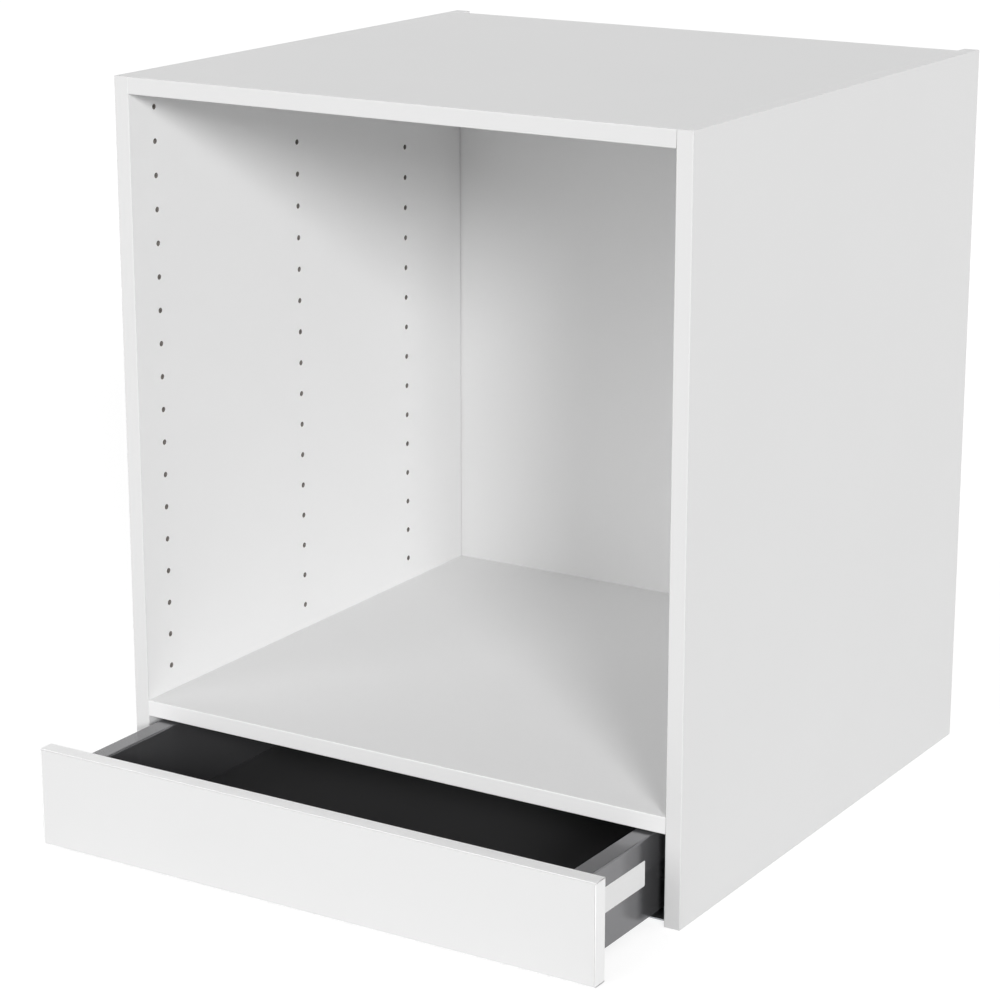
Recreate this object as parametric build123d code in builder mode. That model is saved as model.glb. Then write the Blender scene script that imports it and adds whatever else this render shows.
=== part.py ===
from build123d import *

import math
import os

# Oven base cabinet: a kitchen unit with an open oven niche above a full-extension drawer.
# Millimetres. X runs to the right, Y to the rear and Z up. The origin lies on the floor, under
# the middle of the cabinet and its drawer, which stands pulled out by OPENING.

# Carcass
WIDTH = 600.0
HEIGHT = 704.0
DEPTH = 580.0
BOARD = 16.0
# Clear height below the oven shelf
DRAWER_BAY = 87.0
BACK_THICKNESS = 5.0
# Distance from the sides' rear edges to the back panel
BACK_INSET = 15.0
GROOVE_DEPTH = 8.0
# Play of the back panel in its grooves
GROOVE_PLAY = 0.1
EDGE_BAND = 1.0
BAND_CHAMFER = 0.4

# Rows of system holes in the sides
HOLE_PITCH = 32.0
HOLE_DIAMETER = 5.0
HOLE_DEPTH = 12.0
# Distance from the sides' front edges to the first row
ROW_SETBACK = 37.0
# Pitches from the first row to each row, and pitches left free below the cabinet's top in it
ROW_STEPS = (0, 7, 13)
ROW_FREE_COUNTS = (1, 3, 4)
# Least distance from a hole to the shelf
HOLE_MARGIN = 8.0

# Cam fittings and dowels that hold the top and the shelf
CAM_DIAMETER = 15.0
CAM_HEIGHT = 12.5
CAM_PLAY = 0.2
# Distance from a board's end to the cam, and from its front and rear edges to the cam
CAM_REACH = 34.0
CAM_SETBACK = 64.0
CAM_THROAT = 8.4
BOLT_DIAMETER = 5.0
BOLT_DEPTH = 11.0
BOLT_BORE = 8.0
BOLT_HEAD_DIAMETER = 7.0
BOLT_HEAD_LENGTH = 4.0
DOWEL_DIAMETER = 8.0
DOWEL_LENGTH = 30.0
DOWEL_IN_SIDE = 11.5
DOWEL_SETBACK = 96.0
# Empty space past the end of a pin, bolt or screw in its bore
BORE_SPARE = 0.5

# Screws
SCREW_DIAMETER = 3.5
SCREW_GRIP = 12.0
SCREW_HEAD_DIAMETER = 7.0
SCREW_HEAD_HEIGHT = 2.0
SCREW_CLEARANCE = 0.3
BACK_SCREW_COUNT = 4
BACK_SCREW_SPACING = 160.0
BOTTOM_SCREW_COUNT = 3
BOTTOM_SCREW_SPACING = 200.0
RAIL_SCREW_DIAMETER = 4.8
RAIL_SCREW_HEAD = 9.0
RAIL_SCREW_HEAD_HEIGHT = 1.4

# Drawer travel
OPENING = 128.0
CLOSED_GAP = 2.0
TRAVEL = 480.0

# Drawer front
FRONT_THICKNESS = 16.0
# Gap at each side of the drawer front to the cabinet's outer face
FRONT_SIDE_GAP = 2.0
FLOOR_GAP = 2.0
# Height of the shelf's front edge that the drawer front covers
FRONT_OVERLAY = 10.0

# Drawer sides of rolled steel sheet
SIDE_LENGTH = 500.0
SIDE_WIDTH = 19.5
SIDE_SHEET = 1.0
SIDE_BEND = 1.5
# Gap between the cabinet side and the drawer side, and between the drawer side and the shelf
SIDE_GAP = 12.5
SIDE_TOP_GAP = 2.0
# Gap between the drawer side's outer foot and the cabinet rail under it
FOOT_CLEARANCE = 2.5
FLOOR_FLANGE = 12.0
STIFFENER_HEIGHT = 10.0

# Drawer box
BOTTOM_THICKNESS = 8.0
DRAWER_BACK_THICKNESS = 16.0
DRAWER_BACK_DROP = 7.0
PANEL_PLAY = 0.4

# Telescopic runner
RAIL_Z = 4.0
RAIL_SHEET = 1.5
RAIL_LENGTH = 500.0
RAIL_SETBACK = 3.0
RAIL_CHAMFER = 0.6
RAIL_FLANGE_HEIGHT = 40.0
CHANNEL_WIDTH = 14.0
CHANNEL_SLOT = 5.0
# Gap between the lower and the upper channel
CHANNEL_GAP = 1.0
ROLLER_DIAMETER = 4.0
ROLLER_PLAY = 0.1
LIP_PLAY = 0.3
FLANGE_PLAY = 0.4
MIDDLE_SETBACK = 2.0
CAGE_THICKNESS = 2.4
CAGE_MARGIN = 9.0
CAGE_PLAY = 0.3
ROLLER_COUNT = 4
CATCH_LENGTH = 20.0
CATCH_RAMP = 6.0

# Brackets between the drawer sides, the drawer front and the drawer back
BRACKET_SHEET = 2.0
BRACKET_WIDTH = 16.0
BRACKET_TONGUE = 48.0
BRACKET_GAP = 1.0
BRACKET_SCREW_INSET = 6.0
BACK_BRACKET_REACH = 30.0

# Sides of the small round pieces and bores, several hundred of them
FACETS = 10

# Places that follow from the sizes
outer_x = WIDTH / 2
inner_x = outer_x - BOARD
front_y = (OPENING + FRONT_THICKNESS - DEPTH) / 2
rear_y = front_y + DEPTH
back_rear_y = rear_y - BACK_INSET
back_front_y = back_rear_y - BACK_THICKNESS
shelf_z = DRAWER_BAY
shelf_top_z = shelf_z + BOARD
top_z = HEIGHT - BOARD

drawer_y = front_y - OPENING
drawer_rear_y = drawer_y + SIDE_LENGTH
open_shift = OPENING - CLOSED_GAP
side_outer_x = inner_x - SIDE_GAP
side_inner_x = side_outer_x - SIDE_WIDTH
side_top_z = shelf_z - SIDE_TOP_GAP
side_foot_z = RAIL_Z + RAIL_SHEET + FOOT_CLEARANCE
bend_inside = SIDE_BEND - SIDE_SHEET / 2
drawer_floor_z = FLOOR_GAP + SIDE_SHEET
drawer_floor_top_z = drawer_floor_z + BOTTOM_THICKNESS
drawer_back_top_z = side_top_z - DRAWER_BACK_DROP
drawer_back_y = drawer_rear_y - DRAWER_BACK_THICKNESS

channel_x = (side_outer_x + side_inner_x) / 2
roller_space = ROLLER_DIAMETER + 2 * ROLLER_PLAY
channel_depth = roller_space + RAIL_SHEET + LIP_PLAY
channel_height = channel_depth + 2 * RAIL_SHEET
upper_channel_z = RAIL_Z + channel_height + CHANNEL_GAP
drawer_rail_top_z = upper_channel_z + channel_height
lower_flange_z = RAIL_Z + RAIL_SHEET + roller_space
upper_flange_z = drawer_rail_top_z - RAIL_SHEET - roller_space - RAIL_SHEET
lower_roller_z = RAIL_Z + RAIL_SHEET + roller_space / 2
upper_roller_z = drawer_rail_top_z - RAIL_SHEET - roller_space / 2
cavity_width = CHANNEL_WIDTH - 2 * RAIL_SHEET
flange_width = cavity_width - 2 * FLANGE_PLAY

drawer_rail_length = SIDE_LENGTH - CATCH_LENGTH
drawer_rail_y = drawer_y + CATCH_LENGTH
# Each telescopic stage lags the drawer by its share of the opening
middle_rail_closed = CATCH_LENGTH - CLOSED_GAP + MIDDLE_SETBACK
middle_rail_y = front_y + middle_rail_closed - open_shift / 2
cage_length = drawer_rail_length - TRAVEL / 2 - MIDDLE_SETBACK - 2 * CAGE_MARGIN
lower_cage_y = front_y + RAIL_SETBACK + CAGE_MARGIN + TRAVEL / 4 - open_shift / 4
upper_cage_y = front_y + middle_rail_closed + CAGE_MARGIN + TRAVEL / 4 - open_shift * 3 / 4

bracket_z = drawer_rail_top_z + STIFFENER_HEIGHT + BRACKET_GAP
bracket_height = drawer_back_top_z - bracket_z
bracket_screw_zs = (bracket_z + BRACKET_SCREW_INSET, bracket_z + bracket_height - BRACKET_SCREW_INSET)

ALONG_X = Vector(1, 0, 0)
ALONG_Y = Vector(0, 1, 0)
ALONG_Z = Vector(0, 0, 1)


def keep(piece, label):
    """Names a finished piece and writes it to its own file."""
    piece.part.label = label
    export_step(piece.part, f"parts/{label}.step")


def keep_pair(piece, label):
    """Writes a right-hand piece, and its mirror image as the left-hand one."""
    keep(piece, f"{label}_right")
    with BuildPart() as mirrored:
        mirror(piece.part, about=Plane.YZ)
    keep(mirrored, f"{label}_left")


def facing_rear(y):
    """Plane across the cabinet at a depth, with X to the right and Z up in it."""
    return Plane.XZ.offset(-y)


def beside(x):
    """Plane along the cabinet at a distance from its middle, with Y and Z in it."""
    return Plane.YZ.offset(x)


def spread(count, spacing):
    """Distances of evenly spaced places to either side of the middle."""
    return [(i - (count - 1) / 2) * spacing for i in range(count)]


def bores(plane, places, diameter):
    """Sketch of many-sided bores, between whose flats a pin of the diameter passes."""
    with BuildSketch(plane) as sketch:
        with Locations(*places):
            RegularPolygon(diameter / 2, FACETS, major_radius=False)
    return sketch.sketch


def pins(plane, places, diameter):
    """Sketch of many-sided pins, whose corners lie on the diameter."""
    with BuildSketch(plane) as sketch:
        with Locations(*places):
            RegularPolygon(diameter / 2, FACETS)
    return sketch.sketch


def headed_pins(plane, inward, places, shank, length, head, head_height):
    """Screws or bolts driven into a plane, with their heads standing on it."""
    with BuildPart() as fasteners:
        extrude(pins(plane, places, head), amount=head_height, dir=-inward)
        extrude(pins(plane, places, shank), amount=length, dir=inward)
    return fasteners


def panel_screws(plane, inward, places, through):
    """Chipboard screws that grip the board behind the sheet or board they go through."""
    return headed_pins(
        plane, inward, places, SCREW_DIAMETER, through + SCREW_GRIP, SCREW_HEAD_DIAMETER, SCREW_HEAD_HEIGHT
    )


def both_sides(piece):
    """One node of the right-hand solids and their mirror images."""
    with BuildPart() as pair:
        add(piece.part)
        mirror(piece.part, about=Plane.YZ)
    return pair


# Places of the holes on a side, as (y, z)
def system_hole_rows():
    """Rows of system holes above the shelf, each from its lowest hole to its highest."""
    lowest = math.ceil((shelf_top_z + HOLE_MARGIN) / HOLE_PITCH)
    in_height = math.floor(HEIGHT / HOLE_PITCH)
    rows = []
    for step, free in zip(ROW_STEPS, ROW_FREE_COUNTS):
        y = front_y + ROW_SETBACK + step * HOLE_PITCH
        rows.append([(y, k * HOLE_PITCH) for k in range(lowest, in_height - free + 1)])
    return rows


hole_rows = system_hole_rows()
# The corners of the field that all rows cover, from which hardware is set out
common_top_z = min(row[-1][1] for row in hole_rows)
corner_holes = [(row[0][0], z) for row in (hole_rows[0], hole_rows[-1]) for z in (row[0][1], common_top_z)]
other_holes = [place for row in hole_rows for place in row if place not in corner_holes]
rail_screw_places = [(front_y + ROW_SETBACK + step * HOLE_PITCH, HOLE_PITCH) for step in ROW_STEPS]

board_mid_zs = (shelf_z + BOARD / 2, top_z + BOARD / 2)
cam_ys = (front_y + CAM_SETBACK, back_front_y - CAM_SETBACK)
dowel_ys = (front_y + DOWEL_SETBACK, back_front_y - DOWEL_SETBACK)
cam_places = [(y, z) for z in board_mid_zs for y in cam_ys]
dowel_places = [(y, z) for z in board_mid_zs for y in dowel_ys]
back_screw_xs = spread(BACK_SCREW_COUNT, BACK_SCREW_SPACING)


# Cabinet sides
def cabinet_side():
    """Right side with its back groove, system holes and the bores of its joints."""
    inner_face = beside(inner_x)
    with BuildPart() as side:
        with BuildSketch(inner_face):
            with Locations((front_y + EDGE_BAND, 0)):
                Rectangle(DEPTH - EDGE_BAND, HEIGHT, align=(Align.MIN, Align.MIN))
        extrude(amount=BOARD)
        with BuildSketch(inner_face):
            with Locations((back_front_y - GROOVE_PLAY, 0)):
                Rectangle(BACK_THICKNESS + 2 * GROOVE_PLAY, HEIGHT, align=(Align.MIN, Align.MIN))
        extrude(amount=GROOVE_DEPTH, mode=Mode.SUBTRACT)
        with BuildSketch(inner_face):
            with Locations(*corner_holes):
                Circle(HOLE_DIAMETER / 2)
        extrude(amount=HOLE_DEPTH, mode=Mode.SUBTRACT)
        shallow = bores(inner_face, other_holes + rail_screw_places, HOLE_DIAMETER)
        extrude(shallow, amount=HOLE_DEPTH, mode=Mode.SUBTRACT)
        threads = bores(inner_face, cam_places, BOLT_DIAMETER)
        extrude(threads, amount=BOLT_DEPTH + BORE_SPARE, mode=Mode.SUBTRACT)
        dowel_holes = bores(inner_face, dowel_places, DOWEL_DIAMETER)
        extrude(dowel_holes, amount=DOWEL_IN_SIDE + BORE_SPARE, mode=Mode.SUBTRACT)
    return side


# Top and oven shelf, which are the same board at two heights
def cross_board(z):
    """Board between the sides, bored for its cams, bolts, dowels and the back's screws."""
    in_board = z + BOARD / 2
    bolts = [(y, in_board) for y in cam_ys]
    dowels = [(y, in_board) for y in dowel_ys]
    cams = [(side * (inner_x - CAM_REACH), y) for side in (-1, 1) for y in cam_ys]
    with BuildPart() as board:
        with BuildSketch(Plane.XY.offset(z)):
            with Locations((0, front_y + EDGE_BAND)):
                Rectangle(2 * inner_x, back_front_y - front_y - EDGE_BAND, align=(Align.CENTER, Align.MIN))
        extrude(amount=BOARD)
        cam_pockets = bores(Plane.XY.offset(z), cams, CAM_DIAMETER)
        extrude(cam_pockets, amount=CAM_HEIGHT + BORE_SPARE, mode=Mode.SUBTRACT)
        for end, inward in ((-inner_x, ALONG_X), (inner_x, -ALONG_X)):
            bolt_holes = bores(beside(end), bolts, BOLT_BORE)
            extrude(bolt_holes, amount=CAM_REACH, dir=inward, mode=Mode.SUBTRACT)
            dowel_holes = bores(beside(end), dowels, DOWEL_DIAMETER)
            dowel_depth = DOWEL_LENGTH - DOWEL_IN_SIDE + BORE_SPARE
            extrude(dowel_holes, amount=dowel_depth, dir=inward, mode=Mode.SUBTRACT)
        screw_holes = bores(facing_rear(back_front_y), [(x, in_board) for x in back_screw_xs], SCREW_DIAMETER)
        extrude(screw_holes, amount=SCREW_GRIP + BORE_SPARE, dir=-ALONG_Y, mode=Mode.SUBTRACT)
    return board


def back_panel():
    """Thin back, held in the sides' grooves and screwed to the top and the shelf."""
    with BuildPart() as back:
        with BuildSketch(facing_rear(back_front_y)):
            Rectangle(2 * (inner_x + GROOVE_DEPTH - GROOVE_PLAY), HEIGHT, align=(Align.CENTER, Align.MIN))
        extrude(amount=BACK_THICKNESS, dir=ALONG_Y)
        places = [(x, z) for z in board_mid_zs for x in back_screw_xs]
        screw_holes = bores(facing_rear(back_front_y), places, SCREW_DIAMETER + SCREW_CLEARANCE)
        extrude(screw_holes, amount=BACK_THICKNESS, dir=ALONG_Y, mode=Mode.SUBTRACT)
    return back


# Edge bands on the front edges
def upright_band():
    """Band on the right side's front edge."""
    with BuildPart() as band:
        with BuildSketch(facing_rear(front_y)):
            with Locations((inner_x, 0)):
                Rectangle(BOARD, HEIGHT, align=(Align.MIN, Align.MIN))
        extrude(amount=EDGE_BAND, dir=ALONG_Y)
        long_edges = band.edges().filter_by(Axis.Z)
        chamfer(long_edges.group_by(Axis.Y)[0], length=BAND_CHAMFER)
    return band


def level_band(z):
    """Band on the front edge of the top or the shelf."""
    with BuildPart() as band:
        with BuildSketch(facing_rear(front_y)):
            with Locations((0, z)):
                Rectangle(2 * inner_x, BOARD, align=(Align.CENTER, Align.MIN))
        extrude(amount=EDGE_BAND, dir=ALONG_Y)
        long_edges = band.edges().filter_by(Axis.X)
        chamfer(long_edges.group_by(Axis.Y)[0], length=BAND_CHAMFER)
    return band


# Carcass fittings
def cam_locks():
    """Cams in the undersides of the top and the shelf, each open where its bolt's head enters."""
    with BuildPart() as cams:
        for z in (shelf_z, top_z):
            places = [(inner_x - CAM_REACH, y) for y in cam_ys]
            extrude(pins(Plane.XY.offset(z), places, CAM_DIAMETER - CAM_PLAY), amount=CAM_HEIGHT)
            with BuildSketch(Plane.XY.offset(z + (BOARD - CAM_THROAT) / 2)):
                with Locations(*places):
                    with Locations((-BOLT_HEAD_LENGTH, 0)):
                        Rectangle(CAM_DIAMETER, CAM_THROAT, align=(Align.MIN, Align.CENTER))
            extrude(amount=CAM_HEIGHT, mode=Mode.SUBTRACT)
    return both_sides(cams)


def cam_bolts():
    """Bolts from the sides into the cams."""
    head_x = inner_x - CAM_REACH + BOLT_HEAD_LENGTH / 2
    length = inner_x + BOLT_DEPTH - head_x
    bolts = headed_pins(
        beside(head_x), ALONG_X, cam_places, BOLT_DIAMETER, length, BOLT_HEAD_DIAMETER, BOLT_HEAD_LENGTH
    )
    return both_sides(bolts)


def wood_dowels():
    """Fluted dowels between the sides and the boards."""
    with BuildPart() as dowels:
        dowel_ends = pins(beside(inner_x + DOWEL_IN_SIDE), dowel_places, DOWEL_DIAMETER)
        extrude(dowel_ends, amount=DOWEL_LENGTH, dir=-ALONG_X)
    return both_sides(dowels)


def back_screws():
    """Screws through the back into the top and the shelf."""
    places = [(x, z) for z in board_mid_zs for x in back_screw_xs]
    return panel_screws(facing_rear(back_rear_y), -ALONG_Y, places, BACK_THICKNESS)


def rail_screws():
    """Screws that hold the cabinet rails in the sides."""
    head_x = inner_x - RAIL_SHEET
    length = RAIL_SHEET + HOLE_DEPTH - BORE_SPARE
    screws = headed_pins(
        beside(head_x), ALONG_X, rail_screw_places,
        RAIL_SCREW_DIAMETER, length, RAIL_SCREW_HEAD, RAIL_SCREW_HEAD_HEIGHT,
    )
    return both_sides(screws)


# Telescopic runner
def cabinet_rail():
    """Right cabinet rail: a screwed flange, a foot and the channel of the lower rollers."""
    with BuildPart() as rail:
        with BuildSketch(facing_rear(front_y + RAIL_SETBACK)):
            with Locations((inner_x, RAIL_Z)):
                Rectangle(RAIL_SHEET, RAIL_FLANGE_HEIGHT, align=(Align.MAX, Align.MIN))
                Rectangle(inner_x - channel_x, RAIL_SHEET, align=(Align.MAX, Align.MIN))
            with Locations((channel_x, RAIL_Z)):
                Rectangle(CHANNEL_WIDTH, channel_height, align=(Align.CENTER, Align.MIN))
            with Locations((channel_x, RAIL_Z + RAIL_SHEET)):
                Rectangle(cavity_width, channel_depth, align=(Align.CENTER, Align.MIN), mode=Mode.SUBTRACT)
                Rectangle(CHANNEL_SLOT, channel_height, align=(Align.CENTER, Align.MIN), mode=Mode.SUBTRACT)
        extrude(amount=RAIL_LENGTH, dir=ALONG_Y)
        long_edges = rail.edges().filter_by(Axis.Y)
        channel_top = long_edges.filter_by_position(Axis.Z, RAIL_Z + channel_height, RAIL_Z + channel_height)
        chamfer(channel_top.sort_by(Axis.X)[0], length=RAIL_CHAMFER)
        chamfer(channel_top.sort_by(Axis.X)[-1], length=RAIL_CHAMFER)
        screw_holes = bores(beside(inner_x), rail_screw_places, RAIL_SCREW_DIAMETER + SCREW_CLEARANCE)
        extrude(screw_holes, amount=RAIL_SHEET, dir=-ALONG_X, mode=Mode.SUBTRACT)
    return rail


def middle_rail():
    """Right middle rail, one flange in each channel and a web through their slots."""
    with BuildPart() as rail:
        with BuildSketch(facing_rear(middle_rail_y)):
            with Locations((channel_x, lower_flange_z), (channel_x, upper_flange_z)):
                Rectangle(flange_width, RAIL_SHEET, align=(Align.CENTER, Align.MIN))
            with Locations((channel_x, lower_flange_z)):
                Rectangle(RAIL_SHEET, upper_flange_z - lower_flange_z, align=(Align.CENTER, Align.MIN))
        extrude(amount=drawer_rail_length, dir=ALONG_Y)
    return rail


def drawer_rail():
    """Right drawer rail: the channel that rides on the upper rollers."""
    with BuildPart() as rail:
        with BuildSketch(facing_rear(drawer_rail_y)):
            with Locations((channel_x, upper_channel_z)):
                Rectangle(CHANNEL_WIDTH, channel_height, align=(Align.CENTER, Align.MIN))
            with Locations((channel_x, drawer_rail_top_z - RAIL_SHEET)):
                Rectangle(cavity_width, channel_depth, align=(Align.CENTER, Align.MAX), mode=Mode.SUBTRACT)
                Rectangle(CHANNEL_SLOT, channel_height, align=(Align.CENTER, Align.MAX), mode=Mode.SUBTRACT)
        extrude(amount=drawer_rail_length, dir=ALONG_Y)
        long_edges = rail.edges().filter_by(Axis.Y)
        channel_top = long_edges.group_by(Axis.Z)[-1]
        chamfer(channel_top, length=RAIL_CHAMFER)
    return rail


def roller_ys(cage_y):
    """Evenly spaced rollers along a cage."""
    spacing = cage_length / ROLLER_COUNT
    return [cage_y + (i + 0.5) * spacing for i in range(ROLLER_COUNT)]


def roller_cage(cage_y, roller_z):
    """Right cage: a strip with a window round each roller."""
    strip_width = cavity_width - 2 * CAGE_PLAY
    window_width = strip_width - CAGE_THICKNESS
    window_length = ROLLER_DIAMETER + 2 * CAGE_PLAY
    with BuildPart() as cage:
        with BuildSketch(Plane.XY.offset(roller_z - CAGE_THICKNESS / 2)):
            with Locations((channel_x, cage_y)):
                Rectangle(strip_width, cage_length, align=(Align.CENTER, Align.MIN))
            with Locations(*[(channel_x, y) for y in roller_ys(cage_y)]):
                Rectangle(window_width, window_length, mode=Mode.SUBTRACT)
        extrude(amount=CAGE_THICKNESS)
    return cage


def cage_rollers(cage_y, roller_z):
    """Rollers of a right cage, lying across the channel."""
    roller_length = cavity_width - 4 * CAGE_PLAY - CAGE_THICKNESS
    places = [(y, roller_z) for y in roller_ys(cage_y)]
    with BuildPart() as rollers:
        extrude(pins(beside(channel_x), places, ROLLER_DIAMETER), amount=roller_length / 2, both=True)
    return rollers


# Drawer sides
def drawer_side():
    """Right drawer side: one sheet rolled into two walls, with a flange under the drawer's floor."""
    half_sheet = SIDE_SHEET / 2
    outer = side_outer_x - half_sheet
    inner = side_inner_x + half_sheet
    rolled = (
        (outer, side_foot_z),
        (outer, side_top_z - half_sheet),
        (inner, side_top_z - half_sheet),
        (inner, FLOOR_GAP + half_sheet),
        (side_inner_x - FLOOR_FLANGE, FLOOR_GAP + half_sheet),
    )
    with BuildPart() as side:
        with BuildSketch(facing_rear(drawer_y)):
            with BuildLine():
                FilletPolyline(*rolled, radius=SIDE_BEND)
            trace(line_width=SIDE_SHEET)
        extrude(amount=SIDE_LENGTH, dir=ALONG_Y)
    return side


def side_stiffener():
    """Right stiffener: a tray between the two walls that stands on the drawer rail."""
    with BuildPart() as tray:
        with BuildSketch(facing_rear(drawer_y)):
            with Locations((channel_x, drawer_rail_top_z)):
                Rectangle(SIDE_WIDTH - 2 * SIDE_SHEET, STIFFENER_HEIGHT, align=(Align.CENTER, Align.MIN))
            with Locations((channel_x, drawer_rail_top_z + SIDE_SHEET)):
                Rectangle(
                    SIDE_WIDTH - 4 * SIDE_SHEET, STIFFENER_HEIGHT,
                    align=(Align.CENTER, Align.MIN), mode=Mode.SUBTRACT,
                )
        extrude(amount=SIDE_LENGTH, dir=ALONG_Y)
    return tray


def front_catch():
    """Right catch between the drawer front and the drawer rail, ramped towards the rail."""
    catch_rear_y = drawer_y + CATCH_LENGTH
    with BuildPart() as catch:
        with BuildSketch(beside(channel_x - CHANNEL_WIDTH / 2)):
            with BuildLine():
                Polyline(
                    (drawer_y, upper_channel_z),
                    (catch_rear_y - CATCH_RAMP, upper_channel_z),
                    (catch_rear_y, upper_channel_z + CATCH_RAMP),
                    (catch_rear_y, drawer_rail_top_z),
                    (drawer_y, drawer_rail_top_z),
                    close=True,
                )
            make_face()
        extrude(amount=CHANNEL_WIDTH)
    return catch


# Brackets
front_screw_x = side_inner_x + SIDE_SHEET + BRACKET_SHEET / 2 + BRACKET_WIDTH / 2
back_screw_x = side_inner_x - BACK_BRACKET_REACH / 2
front_bracket_places = [(front_screw_x, z) for z in bracket_screw_zs]
back_bracket_places = [(back_screw_x, z) for z in bracket_screw_zs]


def front_bracket():
    """Right bracket behind the drawer front, with a tongue along the drawer side's inner wall."""
    wall_x = side_inner_x + SIDE_SHEET
    with BuildPart() as bracket:
        with BuildSketch(Plane.XY.offset(bracket_z)):
            with Locations((wall_x, drawer_y)):
                Rectangle(BRACKET_WIDTH, BRACKET_SHEET, align=(Align.MIN, Align.MIN))
                Rectangle(BRACKET_SHEET, BRACKET_TONGUE, align=(Align.MIN, Align.MIN))
        extrude(amount=bracket_height)
        tongue_end = bracket.faces().sort_by(Axis.Y)[-1]
        chamfer(tongue_end.edges().filter_by(Axis.X), length=BRACKET_SCREW_INSET)
        screw_holes = bores(facing_rear(drawer_y), front_bracket_places, SCREW_DIAMETER + SCREW_CLEARANCE)
        extrude(screw_holes, amount=BRACKET_SHEET, dir=ALONG_Y, mode=Mode.SUBTRACT)
    return bracket


def back_bracket():
    """Right bracket on the drawer back, with a tongue forward into the drawer side."""
    wall_x = side_inner_x + SIDE_SHEET
    with BuildPart() as bracket:
        with BuildSketch(Plane.XY.offset(bracket_z)):
            with Locations((wall_x + BRACKET_SHEET, drawer_rear_y)):
                Rectangle(
                    BACK_BRACKET_REACH + SIDE_SHEET + BRACKET_SHEET, BRACKET_SHEET,
                    align=(Align.MAX, Align.MIN),
                )
            with Locations((wall_x, drawer_rear_y)):
                Rectangle(BRACKET_SHEET, BRACKET_TONGUE, align=(Align.MIN, Align.MAX))
        extrude(amount=bracket_height)
        tongue_end = bracket.faces().sort_by(Axis.Y)[0]
        chamfer(tongue_end.edges().filter_by(Axis.X), length=BRACKET_SCREW_INSET)
        screw_holes = bores(facing_rear(drawer_rear_y), back_bracket_places, SCREW_DIAMETER + SCREW_CLEARANCE)
        extrude(screw_holes, amount=BRACKET_SHEET, dir=ALONG_Y, mode=Mode.SUBTRACT)
    return bracket


def bracket_screws():
    """Screws that hold the front brackets to the drawer front and the back brackets to the back."""
    with BuildPart() as screws:
        for y, places in ((drawer_y, front_bracket_places), (drawer_rear_y, back_bracket_places)):
            add(panel_screws(facing_rear(y + BRACKET_SHEET), -ALONG_Y, places, BRACKET_SHEET).part)
    return both_sides(screws)


# Drawer front, floor and back
front_z = FLOOR_GAP
front_height = shelf_z + FRONT_OVERLAY - front_z
front_width = WIDTH - 2 * FRONT_SIDE_GAP
panel_width = 2 * (side_inner_x - PANEL_PLAY)


def drawer_front():
    """Drawer front without its edge bands, bored for the front brackets."""
    with BuildPart() as front:
        with BuildSketch(facing_rear(drawer_y - FRONT_THICKNESS)):
            with Locations((0, front_z + EDGE_BAND)):
                Rectangle(
                    front_width - 2 * EDGE_BAND, front_height - 2 * EDGE_BAND,
                    align=(Align.CENTER, Align.MIN),
                )
        extrude(amount=FRONT_THICKNESS, dir=ALONG_Y)
        places = [(side * x, z) for side in (-1, 1) for x, z in front_bracket_places]
        screw_holes = bores(facing_rear(drawer_y), places, SCREW_DIAMETER)
        extrude(screw_holes, amount=SCREW_GRIP + BORE_SPARE, dir=-ALONG_Y, mode=Mode.SUBTRACT)
    return front


def drawer_front_bands():
    """Four bands round the drawer front: the level ones run full width, the upright ones between."""
    mid_z = front_z + front_height / 2
    with BuildPart() as bands:
        with BuildSketch(facing_rear(drawer_y - FRONT_THICKNESS)):
            with Locations((0, mid_z)):
                with GridLocations(0, front_height - EDGE_BAND, 1, 2):
                    Rectangle(front_width, EDGE_BAND)
        extrude(amount=FRONT_THICKNESS, dir=ALONG_Y)
        level_edges = bands.edges().filter_by(Axis.X)
        chamfer(level_edges.group_by(Axis.Z)[0] + level_edges.group_by(Axis.Z)[-1], length=BAND_CHAMFER)
    with BuildPart() as uprights:
        with BuildSketch(facing_rear(drawer_y - FRONT_THICKNESS)):
            with Locations((0, mid_z)):
                with GridLocations(front_width - EDGE_BAND, 0, 2, 1):
                    Rectangle(EDGE_BAND, front_height - 2 * EDGE_BAND)
        extrude(amount=FRONT_THICKNESS, dir=ALONG_Y)
        upright_edges = uprights.edges().filter_by(Axis.Z)
        chamfer(upright_edges.group_by(Axis.X)[0] + upright_edges.group_by(Axis.X)[-1], length=BAND_CHAMFER)
    return bands, uprights


def drawer_bottom():
    """Drawer floor, lying on the sides' flanges and screwed up into the drawer back."""
    with BuildPart() as bottom:
        with BuildSketch(Plane.XY.offset(drawer_floor_z)):
            with Locations((0, drawer_y + PANEL_PLAY)):
                Rectangle(panel_width, SIDE_LENGTH - PANEL_PLAY, align=(Align.CENTER, Align.MIN))
        extrude(amount=BOTTOM_THICKNESS)
        lower_edges = bottom.edges().filter_by(Axis.Y).group_by(Axis.Z)[0]
        chamfer(lower_edges, length=bend_inside)
        pockets = bores(Plane.XY.offset(drawer_floor_z), bottom_screw_places, SCREW_HEAD_DIAMETER)
        extrude(pockets, amount=SCREW_HEAD_HEIGHT, mode=Mode.SUBTRACT)
        shanks = bores(Plane.XY.offset(drawer_floor_z), bottom_screw_places, SCREW_DIAMETER + SCREW_CLEARANCE)
        extrude(shanks, amount=BOTTOM_THICKNESS, mode=Mode.SUBTRACT)
    return bottom


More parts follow.
